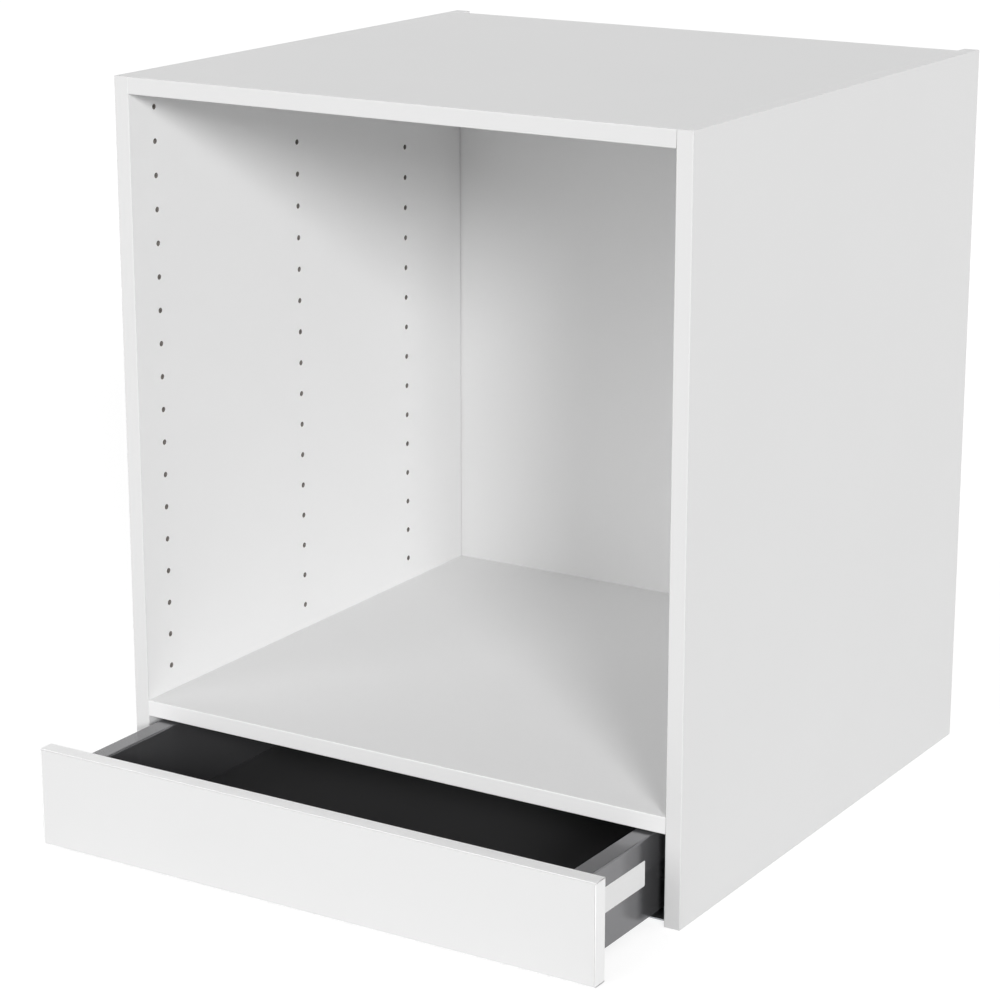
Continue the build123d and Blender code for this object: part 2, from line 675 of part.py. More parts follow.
def drawer_back():
    """Drawer back, standing on the floor between the sides' inner walls."""
    with BuildPart() as back:
        with BuildSketch(facing_rear(drawer_back_y)):
            with Locations((0, drawer_floor_top_z)):
                height = drawer_back_top_z - drawer_floor_top_z
                Rectangle(panel_width, height, align=(Align.CENTER, Align.MIN))
        extrude(amount=DRAWER_BACK_THICKNESS, dir=ALONG_Y)
        places = [(side * x, z) for side in (-1, 1) for x, z in back_bracket_places]
        bracket_holes = bores(facing_rear(drawer_rear_y), places, SCREW_DIAMETER)
        extrude(bracket_holes, amount=SCREW_GRIP + BORE_SPARE, dir=-ALONG_Y, mode=Mode.SUBTRACT)
        floor_holes = bores(Plane.XY.offset(drawer_floor_top_z), bottom_screw_places, SCREW_DIAMETER)
        extrude(floor_holes, amount=SCREW_GRIP + BORE_SPARE, mode=Mode.SUBTRACT)
    return back


bottom_screw_y = drawer_back_y + DRAWER_BACK_THICKNESS / 2
bottom_screw_places = [(x, bottom_screw_y) for x in spread(BOTTOM_SCREW_COUNT, BOTTOM_SCREW_SPACING)]


def bottom_screws():
    """Screws from below, their heads flush with the drawer floor's underside."""
    seat = Plane.XY.offset(drawer_floor_z + SCREW_HEAD_HEIGHT)
    return panel_screws(seat, ALONG_Z, bottom_screw_places, BOTTOM_THICKNESS - SCREW_HEAD_HEIGHT)


os.makedirs("parts", exist_ok=True)

keep_pair(cabinet_side(), "side")
keep(cross_board(top_z), "top_panel")
keep(cross_board(shelf_z), "oven_shelf")
keep(back_panel(), "back_panel")
keep_pair(upright_band(), "side_edge_band")
keep(level_band(top_z), "top_edge_band")
keep(level_band(shelf_z), "shelf_edge_band")
keep(cam_locks(), "cam_locks")
keep(cam_bolts(), "cam_bolts")
keep(wood_dowels(), "wood_dowels")
keep(back_screws(), "back_screws")

keep_pair(cabinet_rail(), "cabinet_rail")
keep(rail_screws(), "rail_screws")
keep_pair(middle_rail(), "middle_rail")
keep_pair(drawer_rail(), "drawer_rail")
keep_pair(roller_cage(lower_cage_y, lower_roller_z), "lower_cage")
keep_pair(cage_rollers(lower_cage_y, lower_roller_z), "lower_rollers")
keep_pair(roller_cage(upper_cage_y, upper_roller_z), "upper_cage")
keep_pair(cage_rollers(upper_cage_y, upper_roller_z), "upper_rollers")

keep_pair(drawer_side(), "drawer_side")
keep_pair(side_stiffener(), "side_stiffener")
keep_pair(front_catch(), "front_catch")
keep_pair(front_bracket(), "front_bracket")
keep_pair(back_bracket(), "back_bracket")
keep(bracket_screws(), "bracket_screws")
keep(drawer_front(), "drawer_front")
front_bands = drawer_front_bands()
keep(front_bands[0], "front_level_bands")
keep(front_bands[1], "front_upright_bands")
keep(drawer_bottom(), "drawer_bottom")
keep(drawer_back(), "drawer_back")
keep(bottom_screws(), "bottom_screws")
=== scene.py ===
import math

import bmesh
import bpy
from mathutils import Matrix, Vector


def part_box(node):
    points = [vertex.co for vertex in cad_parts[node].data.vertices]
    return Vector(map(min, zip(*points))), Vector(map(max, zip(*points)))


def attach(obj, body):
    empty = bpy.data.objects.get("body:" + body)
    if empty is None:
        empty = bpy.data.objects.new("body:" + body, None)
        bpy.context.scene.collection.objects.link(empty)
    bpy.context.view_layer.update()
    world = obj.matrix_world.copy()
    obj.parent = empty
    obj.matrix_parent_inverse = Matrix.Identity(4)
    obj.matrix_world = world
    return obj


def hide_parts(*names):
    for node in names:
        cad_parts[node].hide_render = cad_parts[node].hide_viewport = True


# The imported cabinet: its nodes, and the box they fill before anything is dressed
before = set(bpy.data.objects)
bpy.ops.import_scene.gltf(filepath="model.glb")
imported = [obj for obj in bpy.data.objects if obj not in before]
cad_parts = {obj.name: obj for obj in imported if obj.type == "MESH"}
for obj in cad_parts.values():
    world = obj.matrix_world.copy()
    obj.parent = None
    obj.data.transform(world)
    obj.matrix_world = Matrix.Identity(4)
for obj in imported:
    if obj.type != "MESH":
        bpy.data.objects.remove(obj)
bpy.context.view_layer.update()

bl_info = {
    "name": "Oven Base Cabinet",
    "version": (1, 0, 0),
    "blender": (4, 5, 0),
    "location": "3D View > Sidebar > Cabinet",
    "description": "Dresses the oven base cabinet: boards, bands, drawer, runners and fittings",
    "category": "Object",
}

MM = 0.001
WHITE = (1.0, 1.0, 1.0)
ALONG_X = Vector((1.0, 0.0, 0.0))
ALONG_Y = Vector((0.0, 1.0, 0.0))
ALONG_Z = Vector((0.0, 0.0, 1.0))

# Each side of the cabinet, with its direction outwards
SIDES = (("left", -ALONG_X), ("right", ALONG_X))

# Places and sizes read from the frame
side_low, side_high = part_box("side_right")
back_low, back_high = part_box("back_panel")
shelf_low, shelf_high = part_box("oven_shelf")
top_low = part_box("top_panel")[0]
rail_low, rail_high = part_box("cabinet_rail_right")
drawer_rail_low, drawer_rail_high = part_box("drawer_rail_right")
bracket_low, bracket_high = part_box("front_bracket_right")
drawer_back_low, drawer_back_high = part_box("drawer_back")
drawer_floor_low, drawer_floor_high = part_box("drawer_bottom")
inner_x = side_low.x
front_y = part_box("side_edge_band_right")[0].y
board_thickness = side_high.x - side_low.x
bracket_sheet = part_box("back_bracket_right")[1].y - drawer_back_high.y
channel_x = (drawer_rail_low.x + drawer_rail_high.x) / 2
front_screw_x = bracket_low.x + (bracket_sheet + bracket_high.x - bracket_low.x) / 2
back_screw_x = (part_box("back_bracket_right")[0].x + drawer_back_high.x) / 2

# The construction's spacings, which its boxes don't show
HOLE_PITCH = 32.0 * MM
HOLE_DEPTH = 12.0 * MM
HOLE_MARGIN = 8.0 * MM
ROW_SETBACK = 37.0 * MM
ROW_STEPS = (0, 7, 13)
ROW_FREE_COUNTS = (1, 3, 4)
CAM_REACH = 34.0 * MM
CAM_SETBACK = 64.0 * MM
CAM_RADIUS = 7.5 * MM
CAM_HEIGHT = 12.5 * MM
DOWEL_SETBACK = 96.0 * MM
DOWEL_RADIUS = 4.0 * MM
DOWEL_LENGTH = 30.0 * MM
DOWEL_IN_SIDE = 11.5 * MM
BOLT_IN_SIDE = 11.0 * MM
BORE_SPARE = 0.5 * MM
SCREW_GRIP = 12.0 * MM
SCREW_RADIUS = 1.75 * MM
SCREW_PLAY = 0.15 * MM
BACK_SCREW_SPACING = 160.0 * MM
BOTTOM_SCREW_SPACING = 200.0 * MM
BRACKET_SCREW_INSET = 6.0 * MM
FOOT_CLEARANCE = 2.5 * MM
CHANNEL_SLOT = 5.0 * MM
LIP_PLAY = 0.3 * MM
PANEL_PLAY = 0.1 * MM
GROOVE_SEAM = 1.0 * MM
GROOVE_OVERRUN = 5.0 * MM
CAM_MOUTH = 8.4 * MM
CAM_PLAY = 0.1 * MM
BOLT_BORE = 4.0 * MM

# Shapes that nothing else measures
CUTTER_CLEARANCE = 0.5 * MM
WELD_DISTANCE = 0.001 * MM
LABEL_CORNER_STEPS = 6
BAND_ROUNDING_STEPS = 5
CATCH_RIBS = 4
CATCH_RIB = ((0.0, 0.0), (0.4 * MM, 0.7 * MM), (0.8 * MM, 0.7 * MM), (1.2 * MM, 0.0))
# Steps of a screw's head, as shares of its height and of its radius
SCREW_DOME = ((1.0, 0.45), (0.92, 0.7), (0.7, 0.88), (0.35, 0.98), (0.0, 1.0))
# Edges that turn by more than this stay sharp, or are rounded
SHARP_ANGLE = math.radians(50.0)
ROUNDED_ANGLE = math.radians(40.0)


def tone(red, green=None, blue=None):
    """Linear colour of a screen tone given as 0 to 255, grey where only one number is given."""
    channels = (red, red if green is None else green, red if blue is None else blue)
    shares = [channel / 255.0 for channel in channels]
    return tuple(s / 12.92 if s <= 0.04045 else ((s + 0.055) / 1.055) ** 2.4 for s in shares)


# Settings that a user would change
def colour(name, description, default):
    """Colour picker of one finish."""
    return bpy.props.FloatVectorProperty(
        name=name, description=description, default=default, subtype="COLOR", min=0.0, max=1.0
    )


def length(name, description, default):
    """Length in metres, shown in the scene's unit."""
    return bpy.props.FloatProperty(
        name=name, description=description, default=default, min=0.0, unit="LENGTH", precision=5
    )


def share(name, description, default):
    """Plain number without a unit."""
    return bpy.props.FloatProperty(name=name, description=description, default=default, min=0.0)


def angle(name, description, degrees):
    """Angle, given in degrees."""
    return bpy.props.FloatProperty(
        name=name, description=description, default=math.radians(degrees), subtype="ANGLE"
    )


class CabinetFinishes(bpy.types.PropertyGroup):
    """Colours of the cabinet's finishes."""

    white_board: colour("White Board", "Melamine of the carcass boards", tone(238))
    # Painted shade: the edge bands' white is darker than the boards' white, to offset the stronger light
    # that falls on front faces
    white_edge: colour("White Edge", "Edge bands of the carcass", tone(219))
    # Painted light: the shelf's band is lighter than the other edge bands, to stand in for the floor's light
    # that the open drawer keeps off it
    shelf_band: colour("Shelf Band", "Lighter band on the oven shelf's front edge", tone(231))
    # Painted shade: the drawer front's face is darker than the boards' white, to offset the stronger light
    # that falls on front faces
    white_front: colour("White Front", "Face of the drawer front", tone(221))
    # Painted light: the front's bands are much lighter than its face, which brightens its less lit top band;
    # their lower roughness is real gloss
    front_band: colour("Front Band", "Glossier bands round the drawer front", tone(250))
    chip_core: colour("Chip Core", "Chipboard inside drilled holes", tone(136, 131, 126))
    anthracite_steel: colour("Anthracite Steel", "Coating of the drawer sides", tone(122, 122, 124))
    anthracite_board: colour("Anthracite Board", "Drawer floor and back", tone(74, 74, 75))
    galvanised_steel: colour("Galvanised Steel", "Runner members", tone(176, 179, 182))
    bright_steel: colour("Bright Steel", "Screws, bolts and rollers", tone(198, 199, 200))
    zinc_casting: colour("Zinc Casting", "Cam fittings", tone(168, 168, 170))
    grey_nylon: colour("Grey Nylon", "Roller cages and catches", tone(120, 122, 124))
    beech: colour("Beech", "Dowels", tone(205, 164, 118))
    label_paper: colour("Label Paper", "Blank label on the right drawer side", tone(238))


class CabinetSizes(bpy.types.PropertyGroup):
    """Small sizes that the construction model leaves plain."""

    board_rounding: length("Board Rounding", "Radius of the boards' arrises", 0.3 * MM)
    band_rounding: length("Band Rounding", "Radius along the carcass's edge bands", 0.9 * MM)
    front_rounding: length("Front Rounding", "Radius along the drawer front's bands", 0.4 * MM)
    bore_rim: length("Bore Rim", "Chamfer at the mouth of a drilled hole", 0.15 * MM)
    system_bore: length("System Bore", "Radius of the system holes", 2.5 * MM)
    sheet_rounding: length("Sheet Rounding", "Radius of cut sheet edges", 0.15 * MM)
    side_sheet: length("Side Sheet", "Thickness of the drawer sides' steel", 1.0 * MM)
    side_bend: length("Side Bend", "Middle radius of the drawer sides' bends", 1.5 * MM)
    rail_sheet: length("Rail Sheet", "Thickness of the runners' steel", 1.5 * MM)
    rail_bend: length("Rail Bend", "Middle radius of the runners' bends", 1.5 * MM)
    screw_head: length("Screw Head", "Radius of the chipboard screws' heads", 3.5 * MM)
    screw_head_height: length("Screw Head Height", "Height of the chipboard screws' heads", 2.0 * MM)
    rail_screw_head: length("Rail Screw Head", "Radius of the rail screws' heads", 4.5 * MM)
    rail_screw_head_height: length("Rail Screw Head Height", "Height of the rail screws' heads", 1.4 * MM)
    rail_screw_radius: length("Rail Screw Radius", "Radius of the rail screws' threads", 2.4 * MM)
    bolt_head: length("Bolt Head", "Radius of the cam bolts' heads", 3.5 * MM)
    bolt_head_length: length("Bolt Head Length", "Length of the cam bolts' heads", 4.0 * MM)
    bolt_radius: length("Bolt Radius", "Radius of the cam bolts' threads", 2.5 * MM)
    roller_radius: length("Roller Radius", "Radius of the runners' rollers", 2.0 * MM)
    roller_play: length("Roller Play", "Play of a roller in its window", 0.3 * MM)
    catch_ramp: length("Catch Ramp", "Ramp of the front catches", 6.0 * MM)
    bracket_bend: length("Bracket Bend", "Middle radius of the brackets' bends", 1.5 * MM)
    label_corner: length("Label Corner", "Radius of the label's corners", 1.5 * MM)
    label_thickness: length("Label Thickness", "Thickness of the blank label", 0.15 * MM)
    label_length: length("Label Length", "Length of the blank label", 80.0 * MM)
    label_height: length("Label Height", "Height of the blank label", 24.0 * MM)
    label_setback: length("Label Setback", "From the carcass's front edge to the label", 13.0 * MM)
    label_rise: length("Label Rise", "From the floor to the label", 41.0 * MM)
    roller_count: bpy.props.IntProperty(
        name="Roller Count", description="Rollers in each cage", default=4, min=2, max=12
    )
    round_steps: bpy.props.IntProperty(
        name="Round Steps", description="Sides of small round holes and pins", default=32, min=8, max=64
    )


class CabinetStage(bpy.types.PropertyGroup):
    """Camera, lamps and floor."""

    camera_place: bpy.props.FloatVectorProperty(
        name="Camera Place", description="Where the camera stands", subtype="TRANSLATION", unit="LENGTH",
        default=(1.46127, -2.38122, 1.09692),
    )
    camera_turn: angle("Camera Turn", "Angle of view to the cabinet's right, seen from above", 31.9)
    camera_fall: angle("Camera Fall", "Angle of view below the horizon", 16.04)
    lens: bpy.props.FloatProperty(
        name="Lens", description="Focal length on a 36 mm sensor", default=109.318, unit="CAMERA"
    )
    key_turn: angle("Key Turn", "Where the key lamp stands, to the cabinet's right", 44.0)
    key_rise: angle("Key Rise", "Height of the key lamp above the horizon", 17.5)
    key_width: angle("Key Width", "Angle that the key lamp fills, which softens its shadows", 15.0)
    key_strength: share("Key Strength", "Strength of the key lamp", 2.08)
    fill_turn: angle("Fill Turn", "Where the fill lamp stands, to the cabinet's right", -20.0)
    fill_rise: angle("Fill Rise", "Height of the fill lamp above the horizon", 22.0)
    fill_width: angle("Fill Width", "Angle that the fill lamp fills", 40.0)
    fill_strength: share("Fill Strength", "Strength of the fill lamp", 0.93)
    back_turn: angle("Back Turn", "Where the lamp behind the cabinet stands, to its right", 240.0)
    back_rise: angle("Back Rise", "Height of the lamp behind the cabinet above the horizon", 8.0)
    back_width: angle("Back Width", "Angle that the lamp behind the cabinet fills", 30.0)
    back_strength: share("Back Strength", "Strength of the lamp behind the cabinet", 0.9)
    sky_strength: share("Sky Strength", "Strength of the even light all round", 0.4)
    floor_size: length("Floor Size", "Width of the floor", 40.0)
    floor_bounce: share("Floor Bounce", "Share of light that the floor throws back on the cabinet", 0.6)
    floor_shading: share("Floor Shading", "Share of the lamps' light that shows on the floor", 0.4)
    floor_glow: share("Floor Glow", "Even white that the floor shows besides", 0.76)


SETTINGS = (
    ("cabinet_finishes", CabinetFinishes),
    ("cabinet_sizes", CabinetSizes),
    ("cabinet_stage", CabinetStage),
)


# Node trees, for shaders and for geometry
class Flow:
    """What a socket puts out. Arithmetic with it adds math nodes to its tree."""

    def __init__(self, socket):
        self.socket = socket

    def math(self, operation, *others):
        """Result of a math node that starts from this number."""
        return made_by(self.socket.id_data, "ShaderNodeMath", self, *others, operation=operation)

    def __add__(self, other):
        return self.math("ADD", other)

    def __sub__(self, other):
        return self.math("SUBTRACT", other)

    def __mul__(self, other):
        return self.math("MULTIPLY", other)

    def __truediv__(self, other):
        return self.math("DIVIDE", other)

    def __rtruediv__(self, other):
        return made_by(self.socket.id_data, "ShaderNodeMath", other, self, operation="DIVIDE")


def feed(tree, sockets, values):
    """Gives sockets what flows into them, or their plain values."""
    for key, value in values.items():
        source = value.socket if isinstance(value, Flow) else value
        if isinstance(source, bpy.types.NodeSocket):
            tree.links.new(source, sockets[key])
        else:
            sockets[key].default_value = source


def add_node(tree, kind, *numbered, **named):
    """Node with inputs in order or under their capitalised names; small names are its choices."""
    node = tree.nodes.new(kind)
    inputs = dict(enumerate(numbered))
    for name, value in named.items():
        if name.islower():
            setattr(node, name, value)
        else:
            inputs[name.replace("_", " ")] = value
    feed(tree, node.inputs, inputs)
    return node


def made_by(tree, kind, *numbered, output=0, **named):
    """What comes out of a new node."""
    return Flow(add_node(tree, kind, *numbered, **named).outputs[output])


SOCKET_KINDS = {float: "Float", int: "Int", tuple: "Color", Vector: "Vector"}


def new_group(name, kind="GeometryNodeTree", **inputs):
    """Node group with its inputs, each given as its default, or as its kind where it has none."""
    tree = bpy.data.node_groups.new(name, kind)
    for label, default in inputs.items():
        bare = isinstance(default, str)
        socket = tree.interface.new_socket(
            name=label.replace("_", " "), in_out="INPUT",
            socket_type=f"NodeSocket{default if bare else SOCKET_KINDS[type(default)]}",
        )
        if not bare:
            socket.default_value = default
    return tree, {socket.name: Flow(socket) for socket in tree.nodes.new("NodeGroupInput").outputs}


def put_out(tree, **outputs):
    """Ends a group with its outputs, each given as its kind and what flows into it."""
    for label, (kind, _) in outputs.items():
        tree.interface.new_socket(name=label, in_out="OUTPUT", socket_type=f"NodeSocket{kind}")
    made = tree.nodes.new("NodeGroupOutput").inputs
    feed(tree, made, {label: flow for label, (_, flow) in outputs.items()})


def scaled(tree, vector, factor):
    """Vector or colour times a number."""
    return made_by(tree, "ShaderNodeVectorMath", vector, Scale=factor, operation="SCALE")


def opaque(plain):
    """Colour with full opacity."""
    return (*plain, 1.0)


# Shader groups that several finishes share
def noise(tree, place, scale, detail, roughness):
    """Soft random pattern from 0 to 1."""
    return made_by(
        tree, "ShaderNodeTexNoise", Vector=place, Scale=scale, Detail=detail, Roughness=roughness
    )


def speckle_group():
    """Fine raised texture, and slow drifts of colour and gloss."""
    tree, given = new_group(
        "Surface Speckle", "ShaderNodeTree", Colour=opaque(WHITE), Colour_Drift=0.02, Roughness=0.4,
        Roughness_Drift=0.05, Grain_Size=0.6 * MM, Drift_Size=0.15,
    )
    place = made_by(tree, "ShaderNodeTexCoord", output="Object")
    fine = noise(tree, place, 1.0 / given["Grain Size"], 2.0, 0.6)
    drift = noise(tree, place, 1.0 / given["Drift Size"], 3.0, 0.55) - 0.5
    brightness = drift.math("MULTIPLY_ADD", given["Colour Drift"], 1.0)
    put_out(
        tree,
        Colour=("Color", scaled(tree, given["Colour"], brightness)),
        Roughness=("Float", drift.math("MULTIPLY_ADD", given["Roughness Drift"], given["Roughness"])),
        Height=("Float", fine),
    )


def grain_group():
    """Long fine lines in one direction, as rolled sheet, turned steel and wood have."""
    tree, given = new_group(
        "Long Grain", "ShaderNodeTree", Line_Width=0.5 * MM, Line_Length=50.0 * MM, Direction=ALONG_Y
    )
    place = made_by(tree, "ShaderNodeTexCoord", output="Object")
    direction = given["Direction"]
    across, along = 1.0 / given["Line Width"], 1.0 / given["Line Length"]
    run = made_by(tree, "ShaderNodeVectorMath", place, direction, operation="DOT_PRODUCT", output="Value")
    spread, stretch = scaled(tree, place, across), scaled(tree, direction, run * (along - across))
    pressed = made_by(tree, "ShaderNodeVectorMath", spread, stretch, operation="ADD")
    put_out(tree, Lines=("Float", noise(tree, pressed, 1.0, 3.0, 0.6)))


def principled(name, **constants):
    """New material's tree, and the inputs of its Principled shader with the given constants."""
    material = bpy.data.materials.new(f"{name}_finish")
    material.use_nodes = True
    tree = material.node_tree
    shader = tree.nodes["Principled BSDF"].inputs
    feed(tree, shader, {socket.replace("_", " "): value for socket, value in constants.items()})
    return tree, shader


def raise_surface(tree, shader, height, distance):
    """Bump of a real height in metres."""
    feed(tree, shader, {
        "Normal": made_by(tree, "ShaderNodeBump", Height=height, Distance=distance, Strength=1.0)
    })


def speckled(name, plain, grain, height, drift, roughness, roughness_drift, **constants):
    """Board, lacquer, coating or moulding: the shared speckle with its own sizes."""
    tree, shader = principled(name, **constants)
    speckle = add_node(
        tree, "ShaderNodeGroup", Colour=opaque(plain), Colour_Drift=drift, Roughness=roughness,
        Roughness_Drift=roughness_drift, Grain_Size=grain, node_tree=bpy.data.node_groups["Surface Speckle"],
    ).outputs
    feed(tree, shader, {"Base Color": speckle["Colour"], "Roughness": speckle["Roughness"]})
    raise_surface(tree, shader, speckle["Height"], height)


def lined(name, plain, line_width, line_length, height, contrast, roughness, direction, **constants):
    """Rolled steel or wood: the shared long grain in colour, gloss and height."""
    tree, shader = principled(name, **constants)
    lines = made_by(
        tree, "ShaderNodeGroup", Line_Width=line_width, Line_Length=line_length, Direction=direction,
        node_tree=bpy.data.node_groups["Long Grain"],
    )
    centred = lines - 0.5
    brightness = centred.math("MULTIPLY_ADD", contrast, 1.0)
    gloss = centred.math("MULTIPLY_ADD", 0.3, roughness)
    feed(tree, shader, {"Base Color": scaled(tree, plain, brightness), "Roughness": gloss})
    raise_surface(tree, shader, lines, height)


def chip_core_material(plain):
    """Cut chipboard: pressed chips of uneven tone."""
    tree, shader = principled("chip_core", Roughness=0.85)
    place = made_by(tree, "ShaderNodeTexCoord", output="Object")
    chips = add_node(tree, "ShaderNodeTexVoronoi", Vector=place, Scale=700.0).outputs
    ramp = add_node(tree, "ShaderNodeValToRGB", Fac=chips["Color"])
    for stop, brightness in zip(ramp.color_ramp.elements, (0.55, 1.3)):
        stop.color = opaque([min(1.0, channel * brightness) for channel in plain])
    feed(tree, shader, {"Base Color": ramp.outputs["Color"]})
    raise_surface(tree, shader, chips["Distance"], 0.15 * MM)


# Speckled finishes: grain and its height in mm, drift, roughness and its drift, shader's constants
SPECKLED = (
    ("white_board", 0.7, 0.006, 0.02, 0.8, 0.06, {"Specular_IOR_Level": 0.2}),
    ("white_edge", 0.5, 0.003, 0.01, 0.36, 0.04, {}),
    ("shelf_band", 0.5, 0.003, 0.01, 0.36, 0.04, {}),
    ("white_front", 0.4, 0.003, 0.02, 0.38, 0.05, {}),
    ("front_band", 0.4, 0.002, 0.01, 0.28, 0.03, {}),
    ("anthracite_steel", 0.35, 0.004, 0.05, 0.2, 0.04, {"Metallic": 0.7}),
    ("anthracite_board", 0.5, 0.01, 0.15, 0.55, 0.08, {}),
    ("zinc_casting", 0.4, 0.02, 0.12, 0.5, 0.12, {"Metallic": 1.0}),
    ("grey_nylon", 0.3, 0.004, 0.04, 0.42, 0.06, {}),
    ("label_paper", 0.25, 0.004, 0.02, 0.55, 0.05, {}),
)
# Lined finishes: width, length and height of the lines in mm, contrast, roughness, direction
LINED = (
    ("galvanised_steel", 0.6, 30, 0.004, 0.08, 0.36, ALONG_Y, {"Metallic": 1.0}),
    ("bright_steel", 0.15, 2, 0.002, 0.05, 0.24, ALONG_Y, {"Metallic": 1.0}),
    ("beech", 0.25, 8, 0.03, 0.16, 0.62, ALONG_X, {}),
)


# Geometry Nodes: shapes that the trees below share
def vector_of(tree, x=0.0, y=0.0, z=0.0):
    """Vector from three numbers."""
    return made_by(tree, "ShaderNodeCombineXYZ", X=x, Y=y, Z=z)


def moved(tree, geometry, place):
    """Geometry moved to a place."""
    return made_by(tree, "GeometryNodeTransform", Geometry=geometry, Translation=place)


def lifted(tree, geometry, height):
    """Geometry moved up by a height."""
    return moved(tree, geometry, vector_of(tree, z=height))


def joined(tree, parts):
    """Several geometries as one."""
    join = add_node(tree, "GeometryNodeJoinGeometry")
    for part in parts:
        feed(tree, join.inputs, {"Geometry": part})
    return Flow(join.outputs[0])


def turned(tree, steps, rings):
    """Closed turned shape through rings of (height, radius), from its lowest end to its highest."""
    parts = []
    for (low, below), (high, above) in zip(rings, rings[1:]):
        depth = made_by(tree, "ShaderNodeMath", high, low, operation="SUBTRACT")
        wall = made_by(
            tree, "GeometryNodeMeshCone", Vertices=steps, Radius_Bottom=below, Radius_Top=above,
            Depth=depth, fill_type="NONE",
        )
        parts.append(lifted(tree, wall, low))
    for height, radius in (rings[0], rings[-1]):
        cap = made_by(tree, "GeometryNodeMeshCircle", Vertices=steps, Radius=radius, fill_type="NGON")
        parts.append(lifted(tree, cap, height))
    parts[-2] = made_by(tree, "GeometryNodeFlipFaces", Mesh=parts[-2])
    return made_by(
        tree, "GeometryNodeMergeByDistance", Geometry=joined(tree, parts), Distance=WELD_DISTANCE
    )


def block(tree, size, place):
    """Box of a size, with its middle at a place."""
    return moved(tree, made_by(tree, "GeometryNodeMeshCube", Size=size), place)


def crossed(tree, reach, width, deep, place):
    """Two blocks that cross, as the recess of a screwdriver."""
    return [
        block(tree, vector_of(tree, *size, deep), place) for size in ((reach, width), (width, reach))
    ]


def without(tree, whole, *cuts):
    """Solid with others cut from it."""
    kind = "GeometryNodeMeshBoolean"
    node = add_node(tree, kind, Mesh_1=whole, operation="DIFFERENCE", solver="EXACT")
    for cut in cuts:
        feed(tree, node.inputs, {"Mesh 2": cut})
    return Flow(node.outputs["Mesh"])


def places_of(tree, given):
    """Points of the object that holds the places."""
    return made_by(tree, "GeometryNodeObjectInfo", Object=given["Places"], output="Geometry")


def at_places(tree, places, shape, twist=0.0):
    """Copies of a shape, each turned to the direction stored at its place, as plain mesh."""
    facing, heading = (
        made_by(tree, "GeometryNodeInputNamedAttribute", Name=name, data_type="FLOAT_VECTOR")
        for name in ("facing", "heading")
    )
    align = "FunctionNodeAlignRotationToVector"
    turn = made_by(tree, align, Vector=facing, axis="Z")
    turn = made_by(tree, align, Rotation=turn, Vector=heading, axis="X", pivot_axis="Z")
    spun = made_by(tree, "FunctionNodeEulerToRotation", vector_of(tree, z=twist))
    turn = made_by(tree, "FunctionNodeRotateRotation", turn, spun, rotation_space="LOCAL")
    copies = made_by(
        tree, "GeometryNodeInstanceOnPoints", Points=places, Instance=shape, Rotation=turn
    )
    return made_by(tree, "GeometryNodeRealizeInstances", Geometry=copies)


def put_out_finished(tree, label, geometry, finish, selection=True):
    """Ends a tree with geometry that is smooth up to its sharp edges, and has its finish."""
    smooth = made_by(tree, "GeometryNodeSetShadeSmooth", Geometry=geometry)
    turn = made_by(tree, "GeometryNodeInputMeshEdgeAngle")
    sharp = made_by(tree, "FunctionNodeCompare", turn, SHARP_ANGLE, operation="GREATER_THAN")
    smooth = made_by(
        tree, "GeometryNodeSetShadeSmooth", Geometry=smooth, Selection=sharp, Shade_Smooth=False,
        domain="EDGE",
    )
    made = made_by(
        tree, "GeometryNodeSetMaterial", Geometry=smooth, Selection=selection, Material=finish
    )
    put_out(tree, **{label: ("Geometry", made)})


def thread(tree, radius, start, end, pitch, depth):
    """Ridge that winds round a shank."""
    cut = end - start
    spiral = made_by(
        tree, "GeometryNodeCurveSpiral", Resolution=12, Rotations=cut / pitch, Start_Radius=radius,
        End_Radius=radius, Height=cut,
    )
    section = made_by(tree, "GeometryNodeCurvePrimitiveCircle", Resolution=3, Radius=depth)
    return lifted(tree, swept(tree, spiral, section), start)


def swept(tree, line, section, **shape):
    """Solid that a section leaves behind along a line."""
    kind = "GeometryNodeCurveToMesh"
    return made_by(tree, kind, Curve=line, Profile_Curve=section, Fill_Caps=True, **shape)


# Geometry Nodes: one tree for each kind of repeated or rolled piece
def bores_tree():
    """Drills round holes with a chamfered mouth into a board, one at each place."""
    tree, given = new_group(
        "Bores", Board="Geometry", Places="Object", Radius=2.5 * MM, Depth=12.0 * MM, Rim=0.15 * MM,
        Steps=32, Core_Finish="Material",
    )
    radius, depth, rim = given["Radius"], given["Depth"], given["Rim"]
    clear = CUTTER_CLEARANCE
    drill = turned(tree, given["Steps"], [(-clear, radius + rim + clear), (rim, radius), (depth, radius)])
    drills = made_by(
        tree, "GeometryNodeStoreNamedAttribute", Geometry=at_places(tree, places_of(tree, given), drill),
        Name="bored", Value=True, data_type="BOOLEAN", domain="FACE",
    )
    bored = made_by(tree, "GeometryNodeInputNamedAttribute", Name="bored", data_type="BOOLEAN")
    board = without(tree, given["Board"], drills)
    put_out_finished(tree, "Board", board, given["Core Finish"], bored)


